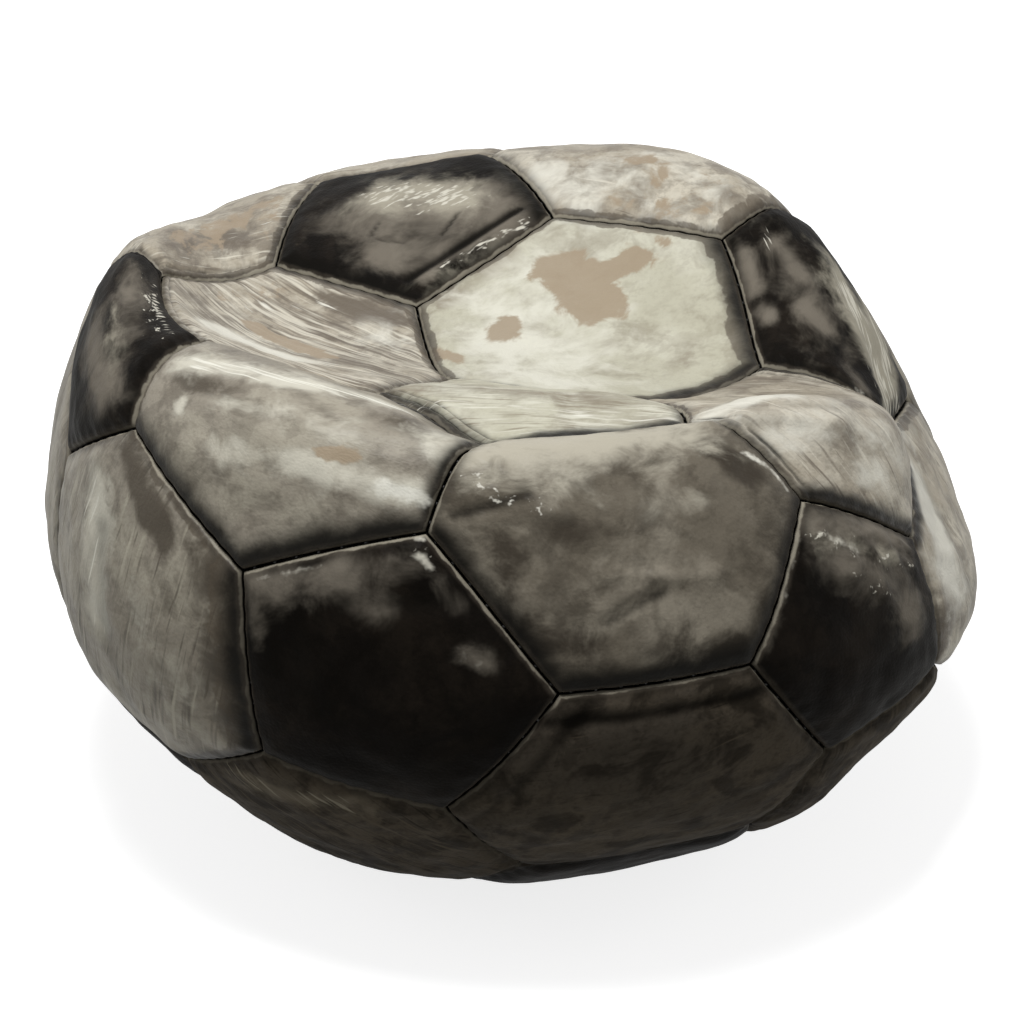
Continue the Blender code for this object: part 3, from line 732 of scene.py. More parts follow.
def positions(builder):
    """The places of a bmesh's vertices as an array."""
    return np.array([vertex.co[:] for vertex in builder.verts])


def place(builder, points):
    """Move a bmesh's vertices to the rows of an array."""
    for vertex, point in zip(builder.verts, points):
        vertex.co = point


def store(mesh, values, kind, field):
    """Keep arrays on a mesh as point attributes of a kind."""
    for name, array in values.items():
        attribute = mesh.attributes.new(name, kind, "POINT")
        attribute.data.foreach_set(field, array.astype(np.float32).ravel())


def arc_strength(directions, arcs):
    """Strength at each direction of the arc that is strongest there."""
    strongest = np.zeros(len(directions))
    for start, end, width, strength in arcs.values():
        angle = angle_to_arc(directions, towards(*start), towards(*end))
        strongest = np.maximum(strongest, strength * np.exp(-(angle / math.radians(width)) ** 2))
    return strongest


def crease_height(directions):
    """Sum of the heights of the creases at each direction."""
    height = np.zeros(len(directions))
    for start, end, width, crease in CREASES.values():
        angle = angle_to_arc(directions, towards(*start), towards(*end))
        height += crease * MM * np.exp(-(angle / math.radians(width)) ** 2)
    return height


def hills(points, size):
    """Rolling noise between about -1 and 1 at points, with hills of a size."""
    return np.array([noise.fractal(Vector(point / size), 1.0, 2.0, 2) for point in points])


def ridges(points, size):
    """Sharp-crested noise between 0 and 1 at points, with ridges of a size."""
    return np.array([1.0 - abs(2.0 * noise.noise(Vector(point / size))) for point in points])


def ring_around(distance, centre, width):
    """A bump of height 1 where a distance is at a centre, of a width to either side."""
    return np.exp(-((distance - centre) / width) ** 2)


# ---------------------------------------------------------------- the round ball and its panels
RING_CROWDING = 1.5             # 1 would space a panel's rings evenly; more crowds its edge
AT_CENTRE = 1e-6                # share of the way out that still counts as the centre
PLAIN_RINGS = 12                # enough rings to find the size of the ball
BEYOND_SIDE = 1.5               # this far out, in half widths, a point is over the next panel
SEAM_BRINK = 1.0 * MM           # width over which the leather drops sharply into the seam ...
BRINK_SHARE = 0.35              # ... and its share of the seam's depth
LIP_FROM_EDGE = 1.15 * MM       # middle of the ridge beside that drop
LIP_WIDTH = 0.40 * MM
LEAST_LIP_WEAR_AND_HIGHLIGHT = 0.15             # wear and painted highlight of the ridge along a panel's lower sides; 1 on its upper
LEVEL_SIDE_LIP_SHARE = 0.35        # what a side that faces level has of the rest
LIP_WEAR_AND_HIGHLIGHT_ABOVE_FLOOR = (0.5, 1.1, 0.25)   # at the ball's middle, what height adds, and the least
PUCKER_REACH = 3.5 * MM
WRINKLES_FROM_SEAM = 4.0 * MM   # a seam is stiff, so the leather beside it wrinkles less ...
LOOSE_AT_SEAM = 0.25            # ... down to this share
SLACK_HILLS = ((30.0 * MM, 0.6), (9.0 * MM, 0.3))       # size and share of the height
CRUMPLE_RIDGES = ((7.0 * MM, 0.65), (3.5 * MM, 0.35))
DARKEST_CREASE_DEPTH = 0.9 * MM          # a crease this deep is painted fully dark, as dirt and shade
CREST_FROM, CREST_FULL = 0.50, 0.95     # heights between which a crest fades into its painted glint
SIDEWAYS = 0.9                  # a panel that faces right or left more than this
SEED_STEP = 37.3                # keeps the patterns of the panels apart
PATTERN_TILT = (0.43, -0.31)    # keeps them off the planes where the noise looks square

SAME_PLACE = 0.01 * MM
VALVE_RADIUS = 4.0 * MM
VALVE_HOLE_RADIUS = 4.4 * MM
VALVE_HOLE_RING = 6             # this ring of the panel's grid becomes the rim of the hole
ROUND_REACH = 0.4               # share of the way out at which the rings are straight again


def round_ball():
    """Mesh of the truncated icosahedron: an icosahedron with its corners cut at a third."""
    builder = bmesh.new()
    bmesh.ops.create_icosphere(builder, subdivisions=1, radius=1.0)
    bmesh.ops.bevel(builder, geom=builder.verts[:], affect="VERTICES", segments=1,
                    offset_type="PERCENT", offset=100.0 / 3.0, clamp_overlap=False)
    mesh = bpy.data.meshes.new("round_ball")
    builder.to_mesh(mesh)
    builder.free()
    return mesh


def panel_directions():
    """Direction, on the upright ball, of the middle of every named panel, and its leather."""
    found = {}
    for lean, first_azimuth, panels in PANEL_RINGS:
        for place_in_ring, (name, leather) in enumerate(panels):
            azimuth = first_azimuth + RING_STEP * place_in_ring
            found[name] = (towards(azimuth, 90.0 - lean), leather)
    return found


class Ball:
    """The ball as it lies: its panels, and where its points have gone."""

    def __init__(self, sizes):
        self.sizes = sizes
        self.turn = ball_turn()
        self.round_mesh = round_ball()
        self.panels = panel_directions()
        self.shift = np.zeros(3)
        self.shift = self.find_shift()

    def find_shift(self):
        """Move that brings the middle of the plain ball to the middle of the frame's box."""
        skins = []
        for name in self.panels:
            grid = PanelGrid(self, name, PLAIN_RINGS)
            skins.append(self.over_skin(grid.directions, grid.plain_rise()))
        skins = np.concatenate(skins)
        middle = (skins.min(axis=0) + skins.max(axis=0)) / 2.0
        frame_middle = (np.array(CAD_LOW) + np.array(CAD_HIGH)) / 2.0
        return np.array((*(frame_middle - middle)[:2], CAD_LOW.z))

    def over_skin(self, directions, rise):
        """Places in the frame of points that stand over the collapsed skin by a rise."""
        points = deflate(directions) + rise[:, None] * deflated_normals(directions)
        points[:, 2] = np.maximum(points[:, 2], 0.0)
        return points + self.shift

    def panel_direction(self, name):
        """Direction of the middle of a panel on the ball as it lies."""
        return self.turn @ self.panels[name][0]


class PanelGrid:
    """One flat panel of the upright ball as a grid, with the distances to its sides in metres."""

    def __init__(self, ball, name, rings, hole_ring=0):
        self.ball = ball
        self.name = name
        self.cut_out(ball.round_mesh, ball.panels[name][0], rings)
        from_middle = positions(self.builder) - self.middle
        even = (from_middle @ self.outward.T).max(axis=1) / self.inradius
        if hole_ring:
            from_middle, even = self.open_hole(from_middle, even, hole_ring / rings)
        self.half_width = self.inradius * BALL_RADIUS / np.linalg.norm(self.middle)
        self.measure(from_middle, even, self.spread(even, hole_ring / rings))

    def cut_out(self, ball_mesh, direction, rings):
        """Keep only the panel that faces a direction, as a grid of even rings."""
        self.builder = bmesh.new()
        self.builder.from_mesh(ball_mesh)
        self.builder.faces.ensure_lookup_table()
        chosen = max(self.builder.faces, key=lambda face: face.normal.dot(Vector(direction)))
        self.middle = np.array(chosen.calc_center_median())
        self.corners = np.array([vertex.co[:] for vertex in chosen.verts])
        others = [face for face in self.builder.faces if face is not chosen]
        bmesh.ops.delete(self.builder, geom=others, context="FACES")
        bmesh.ops.poke(self.builder, faces=self.builder.faces[:])
        bmesh.ops.subdivide_edges(self.builder, edges=self.builder.edges[:], cuts=rings - 1,
                                  use_grid_fill=True)
        side_middles = (self.corners + np.roll(self.corners, -1, axis=0)) / 2.0 - self.middle
        self.inradius = np.linalg.norm(side_middles[0])
        self.outward = side_middles / self.inradius

    def open_hole(self, from_middle, even, hole):
        """Drop the points inside the hole, and bend the rings beyond it towards circles."""
        inside = [vertex for vertex, share in zip(self.builder.verts, even)
                  if share < hole - AT_CENTRE]
        bmesh.ops.delete(self.builder, geom=inside, context="VERTS")
        beyond = even >= hole - AT_CENTRE
        from_middle, even = from_middle[beyond], even[beyond]
        round_off = np.clip((ROUND_REACH - even) / (ROUND_REACH - hole), 0.0, 1.0)
        reach = np.linalg.norm(from_middle, axis=1) / (even * self.inradius)
        return from_middle * ((1.0 - round_off) + round_off / reach)[:, None], even

    def spread(self, even, hole):
        """Share of the way out of each ring, crowded towards the edge."""
        first = VALVE_HOLE_RADIUS / self.half_width if hole else 0.0
        step = np.clip((even - hole) / (1.0 - hole), 0.0, 1.0)
        return first + (1.0 - first) * (1.0 - (1.0 - step) ** RING_CROWDING)

    def measure(self, from_middle, even, share):
        """Directions of the grid on the ball as it lies, and distances along the leather."""
        outwards = np.divide(share, even, out=np.zeros_like(even), where=even > AT_CENTRE)
        trim = 1.0 - self.ball.sizes.seam_gap / 2.0 / self.half_width
        flat = self.middle + from_middle * outwards[:, None] * trim
        self.directions = flat / np.linalg.norm(flat, axis=1)[:, None] @ self.ball.turn.T
        metres = self.half_width / self.inradius
        self.in_plane = from_middle * outwards[:, None] * metres
        self.share = share
        self.to_sides = np.maximum(self.half_width - self.in_plane @ self.outward.T, 0.0)
        self.to_edge = self.to_sides.min(axis=1)
        sides = np.roll(self.corners, -1, axis=0) - self.corners
        sides /= np.linalg.norm(sides, axis=1)[:, None]
        self.along_side = (self.in_plane * sides[self.to_sides.argmin(axis=1)]).sum(axis=1)

    def neighbours(self):
        """Name of the panel beyond each side."""
        names = list(self.ball.panels)
        facing = np.array([self.ball.panels[name][0] for name in names])
        beyond = self.middle + BEYOND_SIDE * self.inradius * self.outward
        return [names[int(np.argmax(facing @ point))] for point in beyond]

    def plain_rise(self):
        """Height over the skin of a taut panel that rounds down into its seams."""
        sizes = self.ball.sizes
        slope = np.clip(1.0 - self.to_edge / sizes.seam_round, 0.0, 1.0) ** 2
        brink = np.clip(1.0 - self.to_edge / SEAM_BRINK, 0.0, 1.0) ** 2
        drawn_in = sizes.seam_depth * ((1.0 - BRINK_SHARE) * slope + BRINK_SHARE * brink)
        return sizes.crown * (1.0 - self.share ** 2) - drawn_in

    def finished_rise(self):
        """Height over the skin with the lip, the puckers, the wrinkles and the creases."""
        sizes = self.ball.sizes
        lip = sizes.lip * ring_around(self.to_edge, LIP_FROM_EDGE, LIP_WIDTH)
        stitch = np.cos(2.0 * math.pi * self.along_side / sizes.stitch_spacing)
        pucker = sizes.pucker * stitch * ring_around(self.to_edge, 0.0, PUCKER_REACH)
        on_ball = self.directions * BALL_RADIUS
        slack = sizes.slack * sum(share * hills(on_ball, size) for size, share in SLACK_HILLS)
        crumple = sizes.crumple * arc_strength(self.directions, CRUMPLES) * self.crumpling()
        from_seam = np.clip(self.to_edge / WRINKLES_FROM_SEAM, 0.0, 1.0)
        free = LOOSE_AT_SEAM + (1.0 - LOOSE_AT_SEAM) * from_seam
        loose = free * (slack + crumple + crease_height(self.directions))
        return self.plain_rise() + lip + pucker + loose + self.seam_folds()

    def seam_folds(self):
        """Height of the folds pressed in along the sides, below zero."""
        height = np.zeros(len(self.directions))
        for side, neighbour in enumerate(self.neighbours()):
            for distance, width, depth in SEAM_FOLDS.get(self.name, {}).get(neighbour, ()):
                height -= depth * MM * ring_around(self.to_sides[:, side], distance * MM,
                                                   width * MM)
        return height

    def crumpling(self):
        """Height of the fine crumpling, from 0 in its valleys to 1 on its crests."""
        on_ball = self.directions * BALL_RADIUS
        return sum(share * ridges(on_ball, size) for size, share in CRUMPLE_RIDGES)

    def exposed(self):
        """How open to rubbing the nearest side is, and how much painted highlight it takes: 1
        along a panel's upper sides, less low on the ball.
        """
        upwards = (self.outward @ self.ball.turn.T)[:, 2]
        facing_up = np.clip(LEVEL_SIDE_LIP_SHARE + upwards, 0.0, 1.0)
        open_side = LEAST_LIP_WEAR_AND_HIGHLIGHT + (1.0 - LEAST_LIP_WEAR_AND_HIGHLIGHT) * facing_up
        nearness = np.exp((self.to_edge[:, None] - self.to_sides) / MM)
        middle, per_height, least = LIP_WEAR_AND_HIGHLIGHT_ABOVE_FLOOR
        above_floor = np.clip(middle + per_height * self.directions[:, 2], least, 1.0)
        return above_floor * (nearness * open_side).sum(axis=1) / nearness.sum(axis=1)

    def wear_and_painted_light(self):
        """Strength, at every point, of each kind of wear, of painted shade and of painted
        highlight.
        """
        dirt = np.zeros(len(self.directions))
        grime = np.zeros(len(self.directions))
        for side, neighbour in enumerate(self.neighbours()):
            width, strength = EDGE_DIRT_AND_SHADE.get(self.name, {}).get(neighbour, PLAIN_EDGE_DIRT_AND_SHADE)
            spread = np.exp(-(self.to_sides[:, side] / (width * MM)) ** DIRT_AND_SHADE_FALLOFF)
            dirt = np.maximum(dirt, strength * spread)
            width, strength = EDGE_GRIME.get(self.name, {}).get(neighbour, NO_EDGE_GRIME)
            spread = np.exp(-(self.to_sides[:, side] / (width * MM)) ** GRIME_FALLOFF)
            grime = np.maximum(grime, strength * spread)
        creased = crease_height(self.directions) + self.seam_folds()
        sunken = np.clip(-creased / DARKEST_CREASE_DEPTH, 0.0, 1.0)
        crest = np.clip((self.crumpling() - CREST_FROM) / (CREST_FULL - CREST_FROM), 0.0, 1.0)
        along_arcs = {kind: arc_strength(self.directions, arcs)
                      for kind, arcs in ARCS_OF_WEAR_AND_PAINTED_LIGHT.items()}
        return {
            **along_arcs,
            "dirt": np.maximum(dirt, sunken),
            "grime": grime,
            "crest": arc_strength(self.directions, GLINTS_ON_CRESTS) * crest,
            "exposed": self.exposed(),
            "seam_mm": self.to_edge / MM,
            "streak": np.full(len(dirt), STREAKS.get(self.name, PLAIN_STREAKS)[1]),
        }

    def pattern_places(self, seed):
        """Places in millimetres on the flat panel, for patterns, and drawn out for streaks."""
        facing = self.ball.panel_direction(self.name)
        right = np.array((1.0, 0.0, 0.0))
        if abs(facing[0]) > SIDEWAYS:
            right = np.cross((0.0, 0.0, 1.0), facing)
        right = right - (right @ facing) * facing
        right /= np.linalg.norm(right)
        lying = self.in_plane @ self.ball.turn.T / MM
        across, upward = lying @ right, lying @ np.cross(facing, right)
        turn, _, length = STREAKS.get(self.name, PLAIN_STREAKS)
        angle = math.radians(turn)
        along = across * math.cos(angle) + upward * math.sin(angle)
        beside = upward * math.cos(angle) - across * math.sin(angle)
        apart = seed * SEED_STEP + PATTERN_TILT[0] * across + PATTERN_TILT[1] * upward
        drawn_out = along / length
        streak_apart = (seed * SEED_STEP + PATTERN_TILT[0] * drawn_out
                        + PATTERN_TILT[1] * beside)
        return {
            "leather_mm": np.column_stack((across, upward, apart)),
            "streak_mm": np.column_stack((drawn_out, beside, streak_apart)),
        }


def add_leather_panel(ball, name, seed, material):
    """One finished panel, and the frame's solid that it stands for."""
    hole_ring = VALVE_HOLE_RING if name == VALVE_PANEL else 0
    grid = PanelGrid(ball, name, ball.sizes.rings, hole_ring)
    place(grid.builder, ball.over_skin(grid.directions, grid.finished_rise()))
    mesh = bpy.data.meshes.new(name + "_leather")
    grid.builder.to_mesh(mesh)
    grid.builder.free()
    store(mesh, grid.wear_and_painted_light(), "FLOAT", "value")
    store(mesh, grid.pattern_places(seed), "FLOAT_VECTOR", "vector")
    mesh.shade_smooth()
    mesh.materials.append(material)
    panel = add_object(name + "_leather", mesh)
    thickness = panel.modifiers.new("thickness", "SOLIDIFY")
    thickness.thickness = ball.sizes.leather
    thickness.offset = -1.0
    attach(panel, "root")
    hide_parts(name)


# ---------------------------------------------------------------- seams and valve
STITCH_HALF_LENGTH = 1.1 * MM
STITCH_SLANT = 0.4 * MM         # how far one end of a stitch is ahead of the other
STITCH_STEPS = (-1.0, -0.5, 0.0, 0.5, 1.0)
STITCH_HEIGHTS = (-3.0 * MM, -2.6 * MM, -2.5 * MM, -2.6 * MM, -3.0 * MM)
STITCH_SIDES = 6


def stitch_paths(ball):
    """Directions along the middle of every stitch of every seam, one row of steps a stitch."""
    vertices = np.array([vertex.co[:] for vertex in ball.round_mesh.vertices])
    radius = np.linalg.norm(vertices[0])
    paths = []
    for edge in ball.round_mesh.edges:
        start, end = vertices[edge.vertices[0]], vertices[edge.vertices[1]]
        length = np.linalg.norm(end - start) * BALL_RADIUS / radius
        count = int(length / ball.sizes.stitch_spacing)
        for number in range(count):
            middle = start + (end - start) * (number + 0.5) / count
            outwards = middle / np.linalg.norm(middle)
            along = (end - start) / np.linalg.norm(end - start)
            across = np.cross(outwards, along)
            steps = [outwards + (across * step * STITCH_HALF_LENGTH
                                 + along * step * STITCH_SLANT) / BALL_RADIUS
                     for step in STITCH_STEPS]
            paths.append([step / np.linalg.norm(step) for step in steps])
    return np.array(paths) @ ball.turn.T


def thread_mesh(ball):
    """Short tubes of thread, one a stitch, that dip into the seam."""
    paths = stitch_paths(ball)
    directions = paths.reshape(-1, 3)
    heights = np.tile(STITCH_HEIGHTS, len(paths))
    middles = ball.over_skin(directions, heights).reshape(paths.shape)
    normals = deflated_normals(directions).reshape(paths.shape)
    along = np.gradient(middles, axis=1)
    along /= np.linalg.norm(along, axis=2)[:, :, None]
    beside = np.cross(normals, along)
    beside /= np.linalg.norm(beside, axis=2)[:, :, None]
    upright = np.cross(along, beside)
    turns = np.arange(STITCH_SIDES) * 2.0 * math.pi / STITCH_SIDES
    rings = (middles[:, :, None, :]
             + ball.sizes.thread / 2.0 * (np.cos(turns)[:, None] * beside[:, :, None, :]
                                          + np.sin(turns)[:, None] * upright[:, :, None, :]))
    steps = len(STITCH_STEPS)
    faces = []
    for stitch in range(len(paths)):
        first = stitch * steps * STITCH_SIDES
        for ring in range(steps - 1):
            for side in range(STITCH_SIDES):
                corner = first + ring * STITCH_SIDES + side
                beyond = first + ring * STITCH_SIDES + (side + 1) % STITCH_SIDES
                faces.append((corner, beyond, beyond + STITCH_SIDES, corner + STITCH_SIDES))
        last = first + (steps - 1) * STITCH_SIDES
        faces.append(tuple(range(first + STITCH_SIDES - 1, first - 1, -1)))
        faces.append(tuple(range(last, last + STITCH_SIDES)))
    mesh = bpy.data.meshes.new("seam_thread")
    mesh.from_pydata(rings.reshape(-1, 3).tolist(), [], faces)
    mesh.shade_smooth()
    return mesh


VALVE_SUNK = 0.3 * MM           # below the crown of its panel
VALVE_TOP_ROUND = 0.6 * MM
VALVE_ROUND_STEPS = 4
VALVE_SIDES = 64
VALVE_SMOOTH_TO = 35.0          # degrees: a sharper edge stays an edge
# The needle hole and its mouth: radius and depth under the top.
NEEDLE_HOLE = ((0.0, 6.0), (0.7, 6.0), (0.7, 1.0), (1.1, 0.45), (1.7, 0.1), (2.2, 0.0))
# Below: radius and depth under the skin, past the flange that holds it in the bladder.
VALVE_FOOT = ((VALVE_RADIUS / MM, 3.2), (7.5, 3.2), (7.5, 4.6), (VALVE_RADIUS / MM, 4.6),
              (VALVE_RADIUS / MM, 15.0), (0.0, 15.0))


def valve_outline(sizes):
    """Half section of the valve, from the foot of its needle hole round to its inner end."""
    top = sizes.crown - VALVE_SUNK
    inner = VALVE_RADIUS - VALVE_TOP_ROUND
    turns = [math.radians(90.0 * step / VALVE_ROUND_STEPS)
             for step in range(VALVE_ROUND_STEPS + 1)]
    rounded = [(inner + VALVE_TOP_ROUND * math.sin(turn),
                top - VALVE_TOP_ROUND + VALVE_TOP_ROUND * math.cos(turn)) for turn in turns]
    return [*((radius * MM, top - depth * MM) for radius, depth in NEEDLE_HOLE),
            *rounded,
            *((radius * MM, -depth * MM) for radius, depth in VALVE_FOOT)]


def valve_mesh(sizes):
    """The valve, turned from its half section about Z."""
    builder = bmesh.new()
    corners = [builder.verts.new((radius, 0.0, height)) for radius, height in valve_outline(sizes)]
    edges = [builder.edges.new(pair) for pair in zip(corners, corners[1:])]
    bmesh.ops.spin(builder, geom=corners + edges, axis=(0.0, 0.0, 1.0), cent=(0.0, 0.0, 0.0),
                   angle=2.0 * math.pi, steps=VALVE_SIDES, use_merge=True)
    bmesh.ops.remove_doubles(builder, verts=builder.verts[:], dist=SAME_PLACE)
    bmesh.ops.recalc_face_normals(builder, faces=builder.faces[:])
    mesh = bpy.data.meshes.new("valve_rubber")
    builder.to_mesh(mesh)
    builder.free()
    mesh.shade_smooth()
    mesh.set_sharp_from_angle(angle=math.radians(VALVE_SMOOTH_TO))
    return mesh


# ---------------------------------------------------------------- finishes
MIX_FACTOR, MIX_A, MIX_B, MIX_RESULT = 0, 6, 7, 2      # sockets of a colour Mix node

# Relief that is too fine for the mesh: the pattern's size and its height in millimetres. Real
# grain is about a third as wide; it is drawn as coarse as it needs to show.
GRAIN = (0.9, 0.04)
FINE_WRINKLES = (4.5, 0.10)
STRETCH_LINES = (1.3, 0.08)
FINEST = 0.8                    # patterns are drawn down to about this size in millimetres ...
MOST_HALVINGS = 5               # ... in no more steps than this
BLOT = 8.0                      # patterns larger than this are bent out of shape ...
BEND = 0.4                      # ... by this share of their size
FINE_SHARE = 0.62               # strength of each finer step of a pattern against the last
PATTERN_SWING = 0.2             # a pattern swings from about -2.5 to 2.5
WITHIN_GAIN = 5.0               # a layer within its own mask is at full strength from 1/5 of it
SMOOTHER = 0.12                 # the smoothest patches are this much under the mean roughness
ROUGHER = 0.24                  # the roughest are this much over them
ROUGH_PATCHES = 6.0             # size in millimetres
SCUFFED_ROUGHNESS = 0.7

THREAD_ROUGHNESS = 0.55
THREAD_TWIST = (0.4, 0.05)      # size and height of the strands, in millimetres
RUBBER_IOR = 1.52
DUST_PATCHES = 3.0              # size in millimetres
DUST_THICKEST = 0.35
GRIT_HEIGHT = 0.04              # millimetres


def limited(tree, mask, layer):
    """Socket with the strength of a layer, faded out where a mask is weak."""
    gain = WITHIN_GAIN if layer.where == layer.within else 1.0
    full = add_node(tree, "ShaderNodeMath", {0: mask, 1: gain}, operation="MULTIPLY",
                    use_clamp=True)
    return add_node(tree, "ShaderNodeMath", {0: full.outputs["Value"], 1: layer.strength},
                    operation="MULTIPLY").outputs["Value"]


def octaves(size):
    """How often a pattern of a size in millimetres is halved on the way to its finest detail."""
    return float(min(round(math.log2(size / FINEST)), MOST_HALVINGS))


def worn_leather_with_painted_light(leather, colours):
    """Full-grain cowhide, rolled with a coat of pigmented finish, then worn and soiled.

    The coat gives it a satin gloss over a fine pebbled grain. It has gone cloudy, streaked where
    the hide stretched, dull and grey where it turns into the seams, and pale where it wore off.
    Painted into its colour as well: shade along the seams, in the creases and on the low panels,
    highlights on the lip, the upper seam ridges and the crests of the crumpling, and sheen on the
    tops of the front pentagons.
    """
    material, tree, shader = new_material(leather + "_pigmented_cowhide")
    look = LEATHERS[leather]
    palette = {key: (*linear_rgb(getattr(look, key)), 1.0) for key in SHADES}
    palette.update({key: (*getattr(colours, key), 1.0) for key in COLOURS_FROM_SETTINGS})
    patterns = {key: add_node(tree, "ShaderNodeAttribute", attribute_name=key).outputs["Vector"]
                for key in ("leather_mm", "streak_mm")}
    masks = {key: add_node(tree, "ShaderNodeAttribute", attribute_name=key).outputs["Fac"]
             for key in MASK_KINDS}

    coat = (*getattr(colours, leather), 1.0)
    shown = {}
    for layer in LAYERS:
        pattern = add_node(tree, "ShaderNodeTexNoise", {
            "Vector": patterns[layer.coordinates], "Scale": 1.0 / layer.size,
            "Detail": octaves(layer.size), "Roughness": FINE_SHARE,
            "Distortion": BEND if layer.size > BLOT else 0.0}, normalize=False)
        edge = add_node(tree, "ShaderNodeMath", {
            0: pattern.outputs["Fac"], 1: layer.ragged * PATTERN_SWING,
            2: masks[layer.where] if layer.where else 0.5}, operation="MULTIPLY_ADD")
        mask = add_node(tree, "ShaderNodeMapRange", {
            "Value": edge.outputs["Value"], "From Min": layer.start, "From Max": layer.full,
            "To Max": layer.strength * (1.0 if layer.where else look.mottle)},
            interpolation_type="SMOOTHSTEP")
        if layer.where:
            shown[layer.where] = mask.outputs["Result"]
        if layer.within:
            tree.links.new(limited(tree, masks[layer.within], layer), mask.inputs["To Max"])
        coat = add_node(tree, "ShaderNodeMix", {
            MIX_FACTOR: mask.outputs["Result"], MIX_A: coat, MIX_B: palette[layer.paint]},
            data_type="RGBA").outputs[MIX_RESULT]
    tree.links.new(coat, shader.inputs["Base Color"])

    duller = add_node(tree, "ShaderNodeMapRange", {
        "Value": shown["scuff"], "To Min": look.roughness - SMOOTHER,
        "To Max": SCUFFED_ROUGHNESS})
    cloudy = add_node(tree, "ShaderNodeTexNoise", {
        "Vector": patterns["leather_mm"], "Scale": 1.0 / ROUGH_PATCHES, "Detail": 3.0})
    rough = add_node(tree, "ShaderNodeMath", {
        0: cloudy.outputs["Fac"], 1: ROUGHER, 2: duller.outputs["Result"]},
        operation="MULTIPLY_ADD")
    tree.links.new(rough.outputs["Value"], shader.inputs["Roughness"])
    shader.inputs["IOR"].default_value = LEATHER_IOR
    shader.inputs["Specular IOR Level"].default_value = look.gloss

    pebbles = add_node(tree, "ShaderNodeTexVoronoi", {
        "Vector": patterns["leather_mm"], "Scale": 1.0 / GRAIN[0]}, voronoi_dimensions="2D")
    wrinkles = add_node(tree, "ShaderNodeTexNoise", {
        "Vector": patterns["leather_mm"], "Scale": 1.0 / FINE_WRINKLES[0], "Detail": 4.0,
        "Roughness": 0.6, "Distortion": 1.2}, noise_dimensions="2D")
    stretch = add_node(tree, "ShaderNodeTexNoise", {
        "Vector": patterns["streak_mm"], "Scale": 1.0 / STRETCH_LINES[0], "Detail": 2.0},
        noise_dimensions="2D")
    stretched = add_node(tree, "ShaderNodeMath", {
        0: stretch.outputs["Fac"], 1: masks["streak"]}, operation="MULTIPLY")
    reliefs = (
        (pebbles.outputs["Distance"], -GRAIN[1]),
        (wrinkles.outputs["Fac"], FINE_WRINKLES[1]),
        (stretched.outputs["Value"], STRETCH_LINES[1]),
    )
    relief = 0.0
    for height, depth in reliefs:
        relief = add_node(tree, "ShaderNodeMath", {0: height, 1: depth * MM, 2: relief},
                          operation="MULTIPLY_ADD").outputs["Value"]
    bump = add_node(tree, "ShaderNodeBump", {
        "Height": relief, "Strength": 1.0, "Distance": 1.0})
    tree.links.new(bump.outputs["Normal"], shader.inputs["Normal"])
    return material


def waxed_thread(colours):
    """Polyester thread pulled through wax: dull, with the fine twist of its strands."""
    material, tree, shader = new_material("waxed_polyester_thread")
    shader.inputs["Base Color"].default_value = (*colours.thread, 1.0)
    shader.inputs["Roughness"].default_value = THREAD_ROUGHNESS
    on_ball = add_node(tree, "ShaderNodeTexCoord").outputs["Object"]
    twist = add_node(tree, "ShaderNodeTexNoise", {
        "Vector": on_ball, "Scale": 1.0 / (THREAD_TWIST[0] * MM)})
    bump = add_node(tree, "ShaderNodeBump", {
        "Height": twist.outputs["Fac"], "Distance": THREAD_TWIST[1] * MM})
    tree.links.new(bump.outputs["Normal"], shader.inputs["Normal"])
    return material


def dusty_rubber(name, rubber, colours, roughness, grit):
    """Rubber with the fine grit of its mould or dip, in millimetres, dull under dry dust."""
    material, tree, shader = new_material(name)
    on_ball = add_node(tree, "ShaderNodeTexCoord").outputs["Object"]
    dust = add_node(tree, "ShaderNodeTexNoise", {
        "Vector": on_ball, "Scale": 1.0 / (DUST_PATCHES * MM), "Detail": 5.0})
    settled = add_node(tree, "ShaderNodeMapRange", {
        "Value": dust.outputs["Fac"], "From Min": 0.45, "From Max": 0.75,
        "To Max": DUST_THICKEST})
    coat = add_node(tree, "ShaderNodeMix", {
        MIX_FACTOR: settled.outputs["Result"], MIX_A: (*rubber, 1.0),
        MIX_B: (*colours.dust, 1.0)}, data_type="RGBA")
    tree.links.new(coat.outputs[MIX_RESULT], shader.inputs["Base Color"])
    shader.inputs["Roughness"].default_value = roughness
    shader.inputs["IOR"].default_value = RUBBER_IOR
    fine = add_node(tree, "ShaderNodeTexNoise", {"Vector": on_ball, "Scale": 1.0 / (grit * MM)})
    bump = add_node(tree, "ShaderNodeBump", {
        "Height": fine.outputs["Fac"], "Distance": GRIT_HEIGHT * MM})
    tree.links.new(bump.outputs["Normal"], shader.inputs["Normal"])
    return material


# ---------------------------------------------------------------- operators
class FOOTBALL_OT_leather_panels(bpy.types.Operator):
    """Make the 32 leather panels with their wear and their painted shade and highlights"""

    bl_idname = "football.leather_panels"
    bl_label = "Leather panels"

    def execute(self, context):
        colours = context.scene.football_colours
        ball = Ball(context.scene.football_sizes)
        materials = {leather: worn_leather_with_painted_light(leather, colours) for leather in LEATHERS}
        for seed, (name, (_, leather)) in enumerate(ball.panels.items()):
            add_leather_panel(ball, name, seed, materials[leather])
        return {"FINISHED"}


class FOOTBALL_OT_seam_thread(bpy.types.Operator):
    """Sew the seams with waxed thread"""

    bl_idname = "football.seam_thread"
    bl_label = "Seam thread"

    def execute(self, context):
        mesh = thread_mesh(Ball(context.scene.football_sizes))
        mesh.materials.append(waxed_thread(context.scene.football_colours))
        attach(add_object("seam_thread", mesh), "root")
        return {"FINISHED"}


